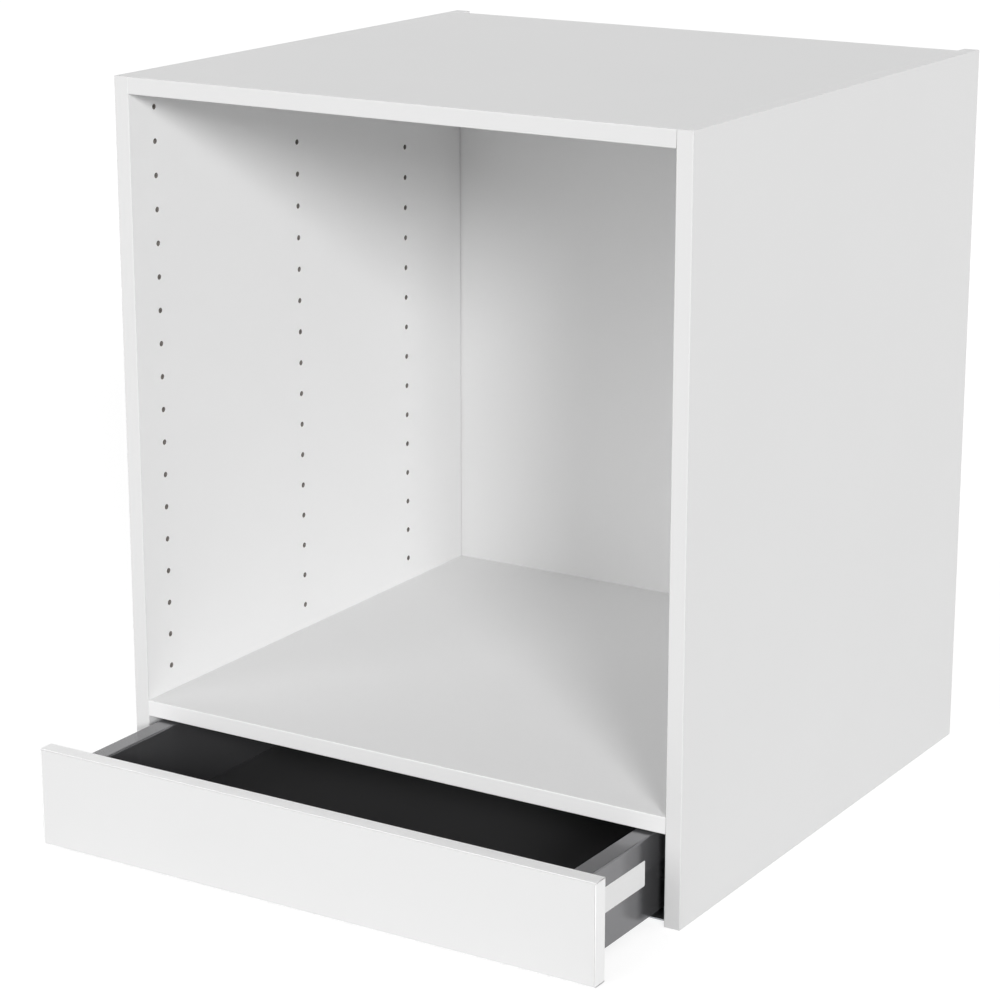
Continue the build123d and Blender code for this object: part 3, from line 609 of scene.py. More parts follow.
def rolled_sheet_tree():
    """Bends a flat sheet along a line of corners, and draws it out in one direction."""
    tree, given = new_group(
        "Rolled Sheet", Corners="Geometry", Sheet_Thickness=1.0 * MM, Bend_Radius=1.5 * MM, Bend_Steps=6,
        Direction=ALONG_Y, Length=0.5, Finish="Material",
    )
    direction, length_made = given["Direction"], given["Length"]
    line = made_by(tree, "GeometryNodeMeshToCurve", Mesh=given["Corners"])
    line = made_by(
        tree, "GeometryNodeFilletCurve", Curve=line, Count=given["Bend Steps"],
        Radius=given["Bend Radius"], mode="POLY",
    )
    line = made_by(tree, "GeometryNodeSetCurveNormal", Curve=line, Normal=direction, mode="FREE")
    section = made_by(
        tree, "GeometryNodeCurvePrimitiveQuadrilateral", Width=length_made, Height=given["Sheet Thickness"]
    )
    sheet = moved(tree, swept(tree, line, section), scaled(tree, direction, length_made * 0.5))
    sheet = made_by(tree, "GeometryNodeRealizeInstances", Geometry=sheet)
    put_out_finished(tree, "Sheet", sheet, given["Finish"])


def screws_tree():
    """Round-headed screws with a cross recess, a thread and a point."""
    tree, given = new_group(
        "Screws", Places="Geometry", Head_Radius=3.5 * MM, Head_Height=2.0 * MM, Shank_Radius=1.75 * MM,
        Length=17.0 * MM, Point_Length=3.0 * MM, Thread_Pitch=1.5 * MM, Thread_Depth=0.4 * MM,
        Recess_Width=0.9 * MM, Steps=32, Seed=5, Finish="Material",
    )
    head, tall, full = given["Head Radius"], given["Head Height"], given["Length"]
    pitch, ridge_height = given["Thread Pitch"], given["Thread Depth"]
    core = given["Shank Radius"] - ridge_height
    point = full - given["Point Length"]
    rings = [(tall * -up, head * wide) for up, wide in SCREW_DOME]
    body = turned(tree, given["Steps"], rings + [(0.0, core), (point, core), (full, 0.1 * MM)])
    top = vector_of(tree, z=tall * -1.0)
    body = without(tree, body, *crossed(tree, head * 1.1, given["Recess Width"], tall * 1.3, top))
    ridge = thread(tree, core, 1.5 * MM, point, pitch, ridge_height)
    spin = add_node(tree, "FunctionNodeRandomValue", Seed=given["Seed"], data_type="FLOAT")
    spin.inputs[3].default_value = math.pi
    screws = at_places(tree, given["Places"], joined(tree, [body, ridge]), Flow(spin.outputs[1]))
    put_out_finished(tree, "Screws", screws, given["Finish"])


def cams_tree():
    """Zinc cams: a barrel open towards its bolt, with a cross recess and an arrow on its face."""
    tree, given = new_group(
        "Cam Locks", Places="Geometry", Radius=7.4 * MM, Height=12.5 * MM, Face=3.8 * MM,
        Mouth=8.4 * MM, Head_Reach=4.0 * MM, Recess_Width=1.3 * MM, Recess_Depth=2.4 * MM, Steps=32,
        Finish="Material",
    )
    radius, height, face = given["Radius"], given["Height"], given["Face"]
    edge = 0.35 * MM
    rim = radius - edge
    rings = [(0.0, rim), (edge, radius), (height - edge, radius), (height, rim)]
    deep = height - face
    mouth = block(
        tree, vector_of(tree, radius * 2.0, given["Mouth"], deep * 2.0),
        vector_of(tree, radius - given["Head Reach"], 0.0, face + deep),
    )
    recess = crossed(
        tree, radius * 1.1, given["Recess Width"], given["Recess Depth"] * 2.0, (0.0, 0.0, 0.0)
    )
    arrow = made_by(tree, "GeometryNodeMeshCylinder", Vertices=3, Radius=0.9 * MM, Depth=0.5 * MM)
    arrow = moved(tree, arrow, vector_of(tree, radius * 0.78))
    cam = without(tree, turned(tree, given["Steps"], rings), mouth, *recess, arrow)
    put_out_finished(tree, "Cams", at_places(tree, given["Places"], cam), given["Finish"])


def bolts_tree():
    """Bolts of the cams: a round head, a waist, a collar and a threaded end."""
    tree, given = new_group(
        "Cam Bolts", Places="Geometry", Head_Radius=3.5 * MM, Head_Length=4.0 * MM,
        Waist_Radius=2.1 * MM, Shank_Radius=2.5 * MM, Shank_Length=32.0 * MM, Thread_Length=11.0 * MM,
        Thread_Pitch=2.0 * MM, Thread_Depth=0.4 * MM, Steps=32, Finish="Material",
    )
    head, waist, shank = given["Head Radius"], given["Waist Radius"], given["Shank Radius"]
    full, pitch, ridge_height = given["Shank Length"], given["Thread Pitch"], given["Thread Depth"]
    top = given["Head Length"] * -1.0
    collar = full - given["Thread Length"]
    below_collar = collar - 2.5 * MM
    core = shank - ridge_height
    body = turned(tree, given["Steps"], [
        (top, head * 0.75), (top + 0.9 * MM, head), (-0.6 * MM, head), (0.0, waist), (5.0 * MM, waist),
        (6.0 * MM, shank), (below_collar, shank), (below_collar + 0.4 * MM, head),
        (collar - 0.1 * MM, head), (collar, core), (full - 1.2 * MM, core), (full, core * 0.5),
    ])
    ridge = thread(tree, core, collar + 0.8 * MM, full - 1.0 * MM, pitch, ridge_height)
    bolts = at_places(tree, given["Places"], joined(tree, [body, ridge]))
    put_out_finished(tree, "Bolts", bolts, given["Finish"])


def dowels_tree():
    """Fluted dowels with tapered ends."""
    tree, given = new_group(
        "Dowels", Places="Geometry", Radius=4.0 * MM, Length=30.0 * MM, Flutes=18,
        Flute_Depth=0.3 * MM, Taper=1.2 * MM, Finish="Material",
    )
    full, taper = given["Length"], given["Taper"]
    line = made_by(tree, "GeometryNodeCurvePrimitiveLine", End=vector_of(tree, z=full))
    line = made_by(tree, "GeometryNodeResampleCurve", Curve=line, Count=full / taper + 1.0)
    along = made_by(tree, "GeometryNodeSplineParameter", output="Length")
    near_end = (along.math("MINIMUM", full - along) / taper).math("MINIMUM", 1.0)
    size = near_end.math("MULTIPLY_ADD", 0.14, 0.86)
    section = made_by(
        tree, "GeometryNodeCurveStar", Points=given["Flutes"], Outer_Radius=given["Radius"],
        Inner_Radius=given["Radius"] - given["Flute Depth"],
    )
    dowels = at_places(tree, given["Places"], swept(tree, line, section, Scale=size))
    put_out_finished(tree, "Dowels", dowels, given["Finish"])


def rollers_tree():
    """Rollers with rounded ends, each lying along its facing direction."""
    tree, given = new_group(
        "Rollers", Places="Geometry", Radius=2.0 * MM, Length=7.4 * MM, End_Chamfer=0.3 * MM, Steps=32,
        Finish="Material",
    )
    radius, chamfer = given["Radius"], given["End Chamfer"]
    half = given["Length"] * 0.5
    straight, narrow = half - chamfer, radius - chamfer
    rings = [(half * -1.0, narrow), (straight * -1.0, radius), (straight, radius), (half, narrow)]
    rollers = at_places(tree, given["Places"], turned(tree, given["Steps"], rings))
    put_out_finished(tree, "Rollers", rollers, given["Finish"])


def windows_tree():
    """Cuts a window through a strip at each place."""
    tree, given = new_group(
        "Cage Windows", Strip="Geometry", Places="Object", Window=Vector((0.008, 0.0046, 0.01)),
        Finish="Material",
    )
    window = made_by(tree, "GeometryNodeMeshCube", Size=given["Window"])
    strip = without(tree, given["Strip"], at_places(tree, places_of(tree, given), window))
    put_out_finished(tree, "Strip", strip, given["Finish"])


# Meshes and pieces
def mesh_from(name, shape):
    """Mesh of a bmesh, which is then freed."""
    mesh = bpy.data.meshes.new(name)
    shape.to_mesh(mesh)
    shape.free()
    return mesh


def box_shape(low, high):
    """Closed box between two corners, as a bmesh."""
    shape = bmesh.new()
    bmesh.ops.create_cube(shape, size=1.0)
    low, high = Vector(low), Vector(high)
    frame_of_box = Matrix.LocRotScale((low + high) / 2, None, high - low)
    bmesh.ops.transform(shape, matrix=frame_of_box, verts=shape.verts)
    return shape


def prism_mesh(name, outline, direction):
    """Closed outline drawn out in a direction."""
    shape = bmesh.new()
    face = shape.faces.new([shape.verts.new(corner) for corner in outline])
    drawn = bmesh.ops.extrude_face_region(shape, geom=[face])["geom"]
    corners = [element for element in drawn if isinstance(element, bmesh.types.BMVert)]
    bmesh.ops.translate(shape, vec=direction, verts=corners)
    bmesh.ops.recalc_face_normals(shape, faces=shape.faces)
    return mesh_from(name, shape)


def band_mesh(name, low, high, radius, outer):
    """Band whose long arrises are rounded on its outer face, as a scraper leaves them."""
    shape = box_shape(low, high)
    size = Vector(high) - Vector(low)
    length_axis = max(range(3), key=lambda axis: size[axis])
    outer_axis = max(range(3), key=lambda axis: abs(outer[axis]))
    face = max(vertex.co.dot(outer) for vertex in shape.verts)
    edges = [
        edge for edge in shape.edges
        if all(abs(vertex.co.dot(outer) - face) < WELD_DISTANCE for vertex in edge.verts)
        and abs(edge.verts[0].co[length_axis] - edge.verts[1].co[length_axis]) > size[length_axis] / 2
    ]
    offset = min(radius, size[outer_axis] * 0.95)
    bmesh.ops.bevel(
        shape, geom=edges, offset=offset, segments=BAND_ROUNDING_STEPS, profile=0.5, affect="EDGES"
    )
    return settle(on_bench(name, mesh_from(name, shape)), name)


def chain_mesh(name, corners):
    """Open line of corners, as a mesh of edges."""
    mesh = bpy.data.meshes.new(name)
    mesh.from_pydata(corners, [(i, i + 1) for i in range(len(corners) - 1)], [])
    return mesh


def places_mesh(places):
    """Points where pieces go, each with the direction it faces and the direction it is headed."""
    mesh = bpy.data.meshes.new("places")
    mesh.from_pydata([place for place, _, _ in places], [], [])
    for name, column in (("facing", 1), ("heading", 2)):
        directions = mesh.attributes.new(name, "FLOAT_VECTOR", "POINT")
        directions.data.foreach_set("vector", [channel for row in places for channel in row[column]])
    return mesh


def on_bench(name, mesh):
    """Object that is worked on before it becomes a piece."""
    work = bpy.data.objects.new(name, mesh)
    bpy.context.scene.collection.objects.link(work)
    return work


def off_bench(*works):
    """Clears working objects away."""
    for work in works:
        mesh = work.data
        bpy.data.objects.remove(work)
        if mesh.users == 0:
            bpy.data.meshes.remove(mesh)


def finish_named(name):
    """Material of a finish, not the plain one that the frame brings for the slot of that name."""
    return bpy.data.materials[f"{name}_finish"]


def with_nodes(work, tree_name, **inputs):
    """Geometry Nodes modifier, its named inputs set by their identifiers."""
    modifier = work.modifiers.new(tree_name, "NODES")
    modifier.node_group = bpy.data.node_groups[tree_name]
    for socket in modifier.node_group.interface.items_tree:
        key = socket.name.lower().replace(" ", "_")
        if socket.in_out == "INPUT" and key in inputs:
            value = inputs.pop(key)
            modifier[socket.identifier] = tuple(value) if isinstance(value, Vector) else value
    if inputs:
        raise ValueError(f"{tree_name} has no inputs named {sorted(inputs)}")


def with_rounding(work, width, segments=3):
    """Rounds the sharp edges."""
    bevel = work.modifiers.new("Rounding", "BEVEL")
    bevel.width = width
    bevel.segments = segments
    bevel.limit_method = "ANGLE"
    bevel.angle_limit = ROUNDED_ANGLE


def with_cut(work, tool, operation="DIFFERENCE"):
    """Cuts a working object away from another, or keeps only what both share."""
    cut = work.modifiers.new("Cut", "BOOLEAN")
    cut.object = tool
    cut.operation = operation
    cut.solver = "EXACT"
    return tool


def with_bores(work, bores, sizes, core):
    """Drills holes given as (places, radius, depth), and returns the objects that hold their places."""
    held = []
    for places, radius, depth in bores:
        held.append(on_bench("places", places_mesh(places)))
        with_nodes(
            work, "Bores", places=held[-1], radius=radius, depth=depth, rim=sizes.bore_rim,
            steps=sizes.round_steps, core_finish=finish_named(core),
        )
    return held


def settle(work, name, *held):
    """Plain mesh of a worked object, evenly shaded; the objects that its modifiers used are cleared."""
    if work.data.polygons:
        work.data.shade_smooth()
    work.modifiers.new("Even Shading", "WEIGHTED_NORMAL").keep_sharp = True
    bpy.context.view_layer.update()
    depsgraph = bpy.context.evaluated_depsgraph_get()
    mesh = bpy.data.meshes.new_from_object(
        work.evaluated_get(depsgraph), preserve_all_data_layers=True, depsgraph=depsgraph
    )
    mesh.name = name
    off_bench(work, *held)
    keep_used_finishes(mesh)
    return mesh


def keep_used_finishes(mesh):
    """Drops the finishes that no face has."""
    chosen = [face.material_index for face in mesh.polygons]
    used = sorted(set(chosen))
    finishes = [mesh.materials[index] for index in used if index < len(mesh.materials)]
    mesh.materials.clear()
    for finish in finishes:
        mesh.materials.append(finish)
    mesh.polygons.foreach_set("material_index", [used.index(index) for index in chosen])


def rolled_sheet(name, corners, direction, length, sheet, bend, finish, sizes, trim=None, bores=()):
    """Mesh of a sheet bent through the corners of its middle line and drawn out in a direction."""
    work = on_bench(name, chain_mesh(name, corners))
    with_nodes(
        work, "Rolled Sheet", sheet_thickness=sheet, bend_radius=bend, direction=direction,
        length=length, finish=finish_named(finish),
    )
    held = [with_cut(work, on_bench("trim", trim), "INTERSECT")] if trim else []
    with_rounding(work, sizes.sheet_rounding, 2)
    return settle(work, name, *held, *with_bores(work, bores, sizes, finish))


def joined_mesh(name, *meshes):
    """One mesh of several, with their finishes."""
    works = [on_bench(name, mesh) for mesh in meshes]
    with bpy.context.temp_override(active_object=works[0], selected_editable_objects=works):
        bpy.ops.object.join()
    made = works[0].data.copy()
    made.name = name
    off_bench(works[0])
    return made


def add_piece(name, mesh, body, slot, *nodes, finish=None):
    """Finished piece that rides on a body and stands for its nodes."""
    if finish is not None:
        mesh.materials.clear()
        mesh.materials.append(finish_named(finish))
    piece = bpy.data.objects.new(name, mesh)
    bpy.context.scene.collection.objects.link(piece)
    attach(piece, body)
    if nodes:
        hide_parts(*nodes)


def add_board(name, body, finish, node, sizes, bores, groove=None, mesh=None):
    """Board with rounded arrises, its groove and its drilled holes."""
    mesh = mesh or mesh_from(name, box_shape(*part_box(node)))
    mesh.materials.append(finish_named(finish))
    work = on_bench(name, mesh)
    with_rounding(work, sizes.board_rounding)
    held = [with_cut(work, on_bench("groove", groove))] if groove else []
    held += with_bores(work, bores, sizes, "chip_core")
    add_piece(name, settle(work, name, *held), body, finish, node)


def add_rolled(name, body, finish, node, sizes, *shape, **options):
    """Piece of one rolled sheet, with its corners, direction, length, thickness and bend."""
    add_piece(name, rolled_sheet(name, *shape, finish, sizes, **options), body, finish, node)


def add_repeated(name, body, finish, node, tree_name, places, **inputs):
    """Piece of one kind of fitting, repeated at its places."""
    work = on_bench(name, places_mesh(places))
    with_nodes(work, tree_name, finish=finish_named(finish), **inputs)
    add_piece(name, settle(work, name), body, finish, node)


# Places of holes and fittings
def spots(facing, heading, xs, ys, zs):
    """Every combination of the given coordinates, all turned the same way."""
    return [(Vector((x, y, z)), facing, heading) for x in xs for y in ys for z in zs]


def on_both_sides(place):
    """Places on the left and on the right, from what gives those of a side by its way out."""
    return [spot for _, out in SIDES for spot in place(out)]


def mirrored(line, out, y):
    """Corners at one depth from (distance from the middle, height), on the side that lies outwards."""
    return [(out.x * x, y, z) for x, z in line]


board_middles = [low.z + board_thickness / 2 for low in (shelf_low, top_low)]
cam_ys = (front_y + CAM_SETBACK, back_low.y - CAM_SETBACK)
dowel_ys = (front_y + DOWEL_SETBACK, back_low.y - DOWEL_SETBACK)
row_ys = [front_y + ROW_SETBACK + step * HOLE_PITCH for step in ROW_STEPS]
back_screw_xs = [step * BACK_SCREW_SPACING for step in (-1.5, -0.5, 0.5, 1.5)]
floor_screw_xs = [step * BOTTOM_SCREW_SPACING for step in (-1.0, 0.0, 1.0)]
floor_screw_ys = [(drawer_back_low.y + drawer_back_high.y) / 2]
bracket_zs = (bracket_low.z + BRACKET_SCREW_INSET, bracket_high.z - BRACKET_SCREW_INSET)
back_holes = spots(-ALONG_Y, ALONG_X, back_screw_xs, [back_high.y], board_middles)


def floor_spots(z):
    """Places of the drawer floor's screws at one height."""
    return spots(ALONG_Z, ALONG_X, floor_screw_xs, floor_screw_ys, [z])


def bracket_spots(x, y, ways=tuple(out for _, out in SIDES)):
    """Places of the brackets' screws at one depth."""
    return [spot for out in ways for spot in spots(-ALONG_Y, ALONG_Z, [out.x * x], [y], bracket_zs)]


def rail_spots(out, x):
    """Places of a runner's screws, on one side."""
    return spots(out, ALONG_Z, [out.x * x], row_ys, [HOLE_PITCH])


def system_spots(out):
    """System holes of a side, row by row, and the holes of its runner's screws below them."""
    lowest = math.ceil((shelf_high.z + HOLE_MARGIN) / HOLE_PITCH)
    in_height = round(side_high.z / HOLE_PITCH)
    holes = rail_spots(out, inner_x)
    for y, free in zip(row_ys, ROW_FREE_COUNTS):
        heights = [count * HOLE_PITCH for count in range(lowest, in_height - free + 1)]
        holes += spots(out, ALONG_Z, [out.x * inner_x], [y], heights)
    return holes


def gripped(places):
    """Pilot bore of a screw's grip."""
    return (places, SCREW_RADIUS, SCREW_GRIP + BORE_SPARE)


def passed(places, depth):
    """Bore that a screw passes through."""
    return (places, SCREW_RADIUS + SCREW_PLAY, depth + BORE_SPARE)


def outward(turn, rise):
    """Direction from the cabinet that turns to its right and rises above the horizon."""
    return Vector((math.sin(turn) * math.cos(rise), -math.cos(turn) * math.cos(rise), math.sin(rise)))


# Operators: the stage, the finishes, and each group of pieces
class CABINET_OT_stage(bpy.types.Operator):
    """Makes the camera, the lamps, the white floor and the sky"""

    bl_idname = "cabinet.stage"
    bl_label = "Stage"

    def execute(self, context):
        scene, stage = context.scene, context.scene.cabinet_stage
        scene.view_settings.view_transform = "Standard"
        self.camera(scene, stage)
        for name in ("key", "fill", "back"):
            self.lamp(scene, name, *(
                getattr(stage, f"{name}_{setting}") for setting in ("turn", "rise", "width", "strength")
            ))
        self.sky(scene, stage.sky_strength)
        self.floor(stage)
        return {"FINISHED"}

    def camera(self, scene, stage):
        """Camera where the photographer stood."""
        camera = on_bench("camera", bpy.data.cameras.new("camera"))
        camera.data.sensor_width = 36.0
        camera.data.lens = stage.lens
        camera.data.clip_end = 100.0
        camera.location = stage.camera_place
        ahead = -outward(stage.camera_turn, stage.camera_fall)
        camera.rotation_euler = ahead.to_track_quat("-Z", "Y").to_euler()
        scene.camera = camera

    def lamp(self, scene, name, turn, rise, width, strength):
        """Wide distant lamp, which lights near and far parts alike."""
        lamp = on_bench(name, bpy.data.lights.new(name, "SUN"))
        lamp.data.energy = strength
        lamp.data.angle = width
        lamp.rotation_euler = outward(turn, rise).to_track_quat("Z", "Y").to_euler()

    def shown_behind(self, tree, unseen, seen):
        """One shader for light that bounces about, and another where the background is seen."""
        rays = add_node(tree, "ShaderNodeLightPath").outputs
        direct = Flow(rays["Is Camera Ray"]).math("MAXIMUM", rays["Is Glossy Ray"])
        direct = direct.math("MAXIMUM", rays["Is Transmission Ray"])
        return made_by(tree, "ShaderNodeMixShader", direct, unseen, seen)

    def sky(self, scene, strength):
        """Even light, with a white background behind the cabinet."""
        scene.world = bpy.data.worlds.new("sky")
        scene.world.use_nodes = True
        tree = scene.world.node_tree
        tree.nodes.clear()
        light, white = (
            made_by(tree, "ShaderNodeBackground", Color=opaque(WHITE), Strength=power)
            for power in (strength, 1.0)
        )
        add_node(tree, "ShaderNodeOutputWorld", Surface=self.shown_behind(tree, light, white))

    def floor(self, stage):
        """White floor that keeps the cabinet's shadow."""
        shape = bmesh.new()
        bmesh.ops.create_grid(shape, x_segments=1, y_segments=1, size=stage.floor_size / 2)
        floor = on_bench("floor", mesh_from("floor", shape))
        material = bpy.data.materials.new("studio_floor")
        material.use_nodes = True
        tree = material.node_tree
        tree.nodes.clear()
        matt, shaded = (
            made_by(tree, "ShaderNodeBsdfDiffuse", Color=opaque([light] * 3))
            for light in (stage.floor_bounce, stage.floor_shading)
        )
        glow = made_by(tree, "ShaderNodeEmission", Color=opaque(WHITE), Strength=stage.floor_glow)
        shown = made_by(tree, "ShaderNodeAddShader", shaded, glow)
        add_node(tree, "ShaderNodeOutputMaterial", Surface=self.shown_behind(tree, matt, shown))
        floor.data.materials.append(material)


class CABINET_OT_finishes(bpy.types.Operator):
    """Makes the materials and the node trees that the pieces use"""

    bl_idname = "cabinet.finishes"
    bl_label = "Finishes"

    def execute(self, context):
        colours = context.scene.cabinet_finishes
        speckle_group()
        grain_group()
        for name, grain, height, *surface, constants in SPECKLED:
            speckled(name, getattr(colours, name), grain * MM, height * MM, *surface, **constants)
        for name, width, run, height, *surface, constants in LINED:
            lined(name, getattr(colours, name), width * MM, run * MM, height * MM, *surface, **constants)
        chip_core_material(colours.chip_core)
        for tree in (
            bores_tree, rolled_sheet_tree, screws_tree, cams_tree, bolts_tree, dowels_tree,
            rollers_tree, windows_tree,
        ):
            tree()
        return {"FINISHED"}


class CABINET_OT_sides(bpy.types.Operator):
    """Makes both carcass sides with their grooves and drilled holes"""

    bl_idname = "cabinet.sides"
    bl_label = "Carcass Sides"

    def execute(self, context):
        sizes = context.scene.cabinet_sizes
        for side, out in SIDES:
            low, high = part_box(f"side_{side}")
            near_x, far_x = sorted((out.x * back_high.x, out.x * (inner_x - GROOVE_OVERRUN)))
            groove = mesh_from("groove", box_shape(
                (near_x, back_low.y - GROOVE_SEAM, low.z - GROOVE_OVERRUN),
                (far_x, back_high.y + PANEL_PLAY, high.z + GROOVE_OVERRUN),
            ))
            bolts, dowels = (
                spots(out, ALONG_Z, [out.x * inner_x], ys, board_middles) for ys in (cam_ys, dowel_ys)
            )
            bores = (
                (system_spots(out), sizes.system_bore, HOLE_DEPTH),
                (bolts, sizes.bolt_radius, BOLT_IN_SIDE + BORE_SPARE),
                (dowels, DOWEL_RADIUS, DOWEL_IN_SIDE + BORE_SPARE),
            )
            node = f"side_{side}"
            add_board(f"board_{node}", "carcass", "white_board", node, sizes, bores, groove)
        return {"FINISHED"}


class CABINET_OT_level_boards(bpy.types.Operator):
    """Makes the top and the oven shelf with the bores of their cams, bolts, dowels and screws"""

    bl_idname = "cabinet.level_boards"
    bl_label = "Top and Oven Shelf"

    def execute(self, context):
        sizes = context.scene.cabinet_sizes
        for node in ("top_panel", "oven_shelf"):
            low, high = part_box(node)
            middle = [(low.z + high.z) / 2]
            cam_xs = [out.x * (inner_x - CAM_REACH) for _, out in SIDES]
            bolts, dowels = (
                on_both_sides(lambda out: spots(-out, ALONG_Z, [out.x * inner_x], ys, middle))
                for ys in (cam_ys, dowel_ys)
            )
            bores = (
                (spots(ALONG_Z, ALONG_X, cam_xs, cam_ys, [low.z]), CAM_RADIUS, CAM_HEIGHT + BORE_SPARE),
                (bolts, BOLT_BORE, CAM_REACH),
                (dowels, DOWEL_RADIUS, DOWEL_LENGTH - DOWEL_IN_SIDE + BORE_SPARE),
                gripped(spots(-ALONG_Y, ALONG_X, back_screw_xs, [high.y], middle)),
            )
            add_board(f"board_{node}", "carcass", "white_board", node, sizes, bores)
        return {"FINISHED"}


class CABINET_OT_back(bpy.types.Operator):
    """Makes the back panel with its screw holes"""

    bl_idname = "cabinet.back"
    bl_label = "Back Panel"

    def execute(self, context):
        bores = (passed(back_holes, back_high.y - back_low.y),)
        sizes = context.scene.cabinet_sizes
        add_board("board_back", "carcass", "white_board", "back_panel", sizes, bores)
        return {"FINISHED"}


class CABINET_OT_edge_bands(bpy.types.Operator):
    """Makes the rounded bands on the carcass's front edges"""

    bl_idname = "cabinet.edge_bands"
    bl_label = "Edge Bands"

    def execute(self, context):
        rounding = context.scene.cabinet_sizes.band_rounding
        for node in ("side_edge_band_left", "side_edge_band_right", "top_edge_band", "shelf_edge_band"):
            # The shelf's band takes a lighter white: painted light for the floor's light that the drawer
            # front blocks
            finish = "shelf_band" if node == "shelf_edge_band" else "white_edge"
            mesh = band_mesh(node, *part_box(node), rounding, -ALONG_Y)
            add_piece(f"{node}_strip", mesh, "carcass", "white_edge", node, finish=finish)
        return {"FINISHED"}


class CABINET_OT_cams(bpy.types.Operator):
    """Makes the cams, their bolts and the dowels between the sides, the top and the shelf"""

    bl_idname = "cabinet.cams"
    bl_label = "Cams, Bolts and Dowels"

    def execute(self, context):
        sizes = context.scene.cabinet_sizes
        steps = sizes.round_steps
        undersides = (shelf_low.z, top_low.z)
        cam_x = inner_x - CAM_REACH
        head_x = cam_x + sizes.bolt_head_length / 2
        dowel_x = inner_x + DOWEL_IN_SIDE
        cams = on_both_sides(lambda out: spots(ALONG_Z, out, [out.x * cam_x], cam_ys, undersides))
        bolts = on_both_sides(lambda out: spots(out, ALONG_Z, [out.x * head_x], cam_ys, board_middles))
        dowels = on_both_sides(
            lambda out: spots(-out, ALONG_Z, [out.x * dowel_x], dowel_ys, board_middles)
        )
        add_repeated(
            "cast_cams", "carcass", "zinc_casting", "cam_locks", "Cam Locks", cams,
            radius=CAM_RADIUS - CAM_PLAY, height=CAM_HEIGHT, face=(board_thickness - CAM_MOUTH) / 2,
            mouth=CAM_MOUTH, head_reach=sizes.bolt_head_length, steps=steps,
        )
        add_repeated(
            "threaded_bolts", "carcass", "bright_steel", "cam_bolts", "Cam Bolts", bolts,
            head_radius=sizes.bolt_head, head_length=sizes.bolt_head_length,
            shank_radius=sizes.bolt_radius, shank_length=inner_x + BOLT_IN_SIDE - head_x,
            thread_length=BOLT_IN_SIDE, steps=steps,
        )
        add_repeated(
            "fluted_dowels", "carcass", "beech", "wood_dowels", "Dowels", dowels,
            radius=DOWEL_RADIUS, length=DOWEL_LENGTH,
        )
        return {"FINISHED"}


class CABINET_OT_screws(bpy.types.Operator):
    """Makes the screws of the back, the runners, the brackets and the drawer's floor"""

    bl_idname = "cabinet.screws"
    bl_label = "Screws"

    def execute(self, context):
        sizes = context.scene.cabinet_sizes
        floor_z = drawer_floor_low.z + sizes.screw_head_height
        bracket_holes = [
            spot for _, out in SIDES
            for x, y in ((front_screw_x, bracket_low.y), (back_screw_x, drawer_back_high.y))
            for spot in bracket_spots(x, y + bracket_sheet, [out])
        ]
        for kind, body, places, through in (
            ("back", "carcass", back_holes, back_high.y - back_low.y),
            ("bottom", "drawer", floor_spots(floor_z), drawer_floor_high.z - floor_z),
            ("bracket", "drawer", bracket_holes, bracket_sheet),
        ):
            self.screws(
                sizes, kind, body, places, head_radius=sizes.screw_head,
                head_height=sizes.screw_head_height, shank_radius=SCREW_RADIUS,
                length=through + SCREW_GRIP,
            )
        rail_holes = on_both_sides(lambda out: rail_spots(out, inner_x - sizes.rail_sheet))
        self.screws(
            sizes, "rail", "carcass", rail_holes, head_radius=sizes.rail_screw_head,
            head_height=sizes.rail_screw_head_height, shank_radius=sizes.rail_screw_radius,
            length=sizes.rail_sheet + HOLE_DEPTH - BORE_SPARE, thread_pitch=2.0 * MM,
            thread_depth=0.55 * MM,
        )
        return {"FINISHED"}

    def screws(self, sizes, kind, body, places, **shape):
        """Screws of one kind, at their places."""
        name = f"threaded_{kind}_screws"
        steps = sizes.round_steps
        add_repeated(name, body, "bright_steel", f"{kind}_screws", "Screws", places, steps=steps, **shape)


class CABINET_OT_drawer_front(bpy.types.Operator):
    """Makes the drawer front and the bands round it"""

    bl_idname = "cabinet.drawer_front"
    bl_label = "Drawer Front"

    def execute(self, context):
        sizes = context.scene.cabinet_sizes
        low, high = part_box("drawer_front")
        bores = (gripped(bracket_spots(front_screw_x, high.y)),)
        add_board("board_front", "drawer", "white_front", "drawer_front", sizes, bores)
        for node, axis, along in (
            ("front_level_bands", 2, ALONG_Z), ("front_upright_bands", 0, ALONG_X)
        ):
            band_low, band_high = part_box(node)
            first_high, second_low = band_high.copy(), band_low.copy()
            first_high[axis], second_low[axis] = low[axis], high[axis]
            name = f"{node}_strips"
            mesh = joined_mesh(
                name,
                band_mesh(node, band_low, first_high, sizes.front_rounding, -along),
                band_mesh(node, second_low, band_high, sizes.front_rounding, along),
            )
            # The bands take the lighter white: painted light on the front's top band
            add_piece(name, mesh, "drawer", "white_front", node, finish="front_band")
        return {"FINISHED"}


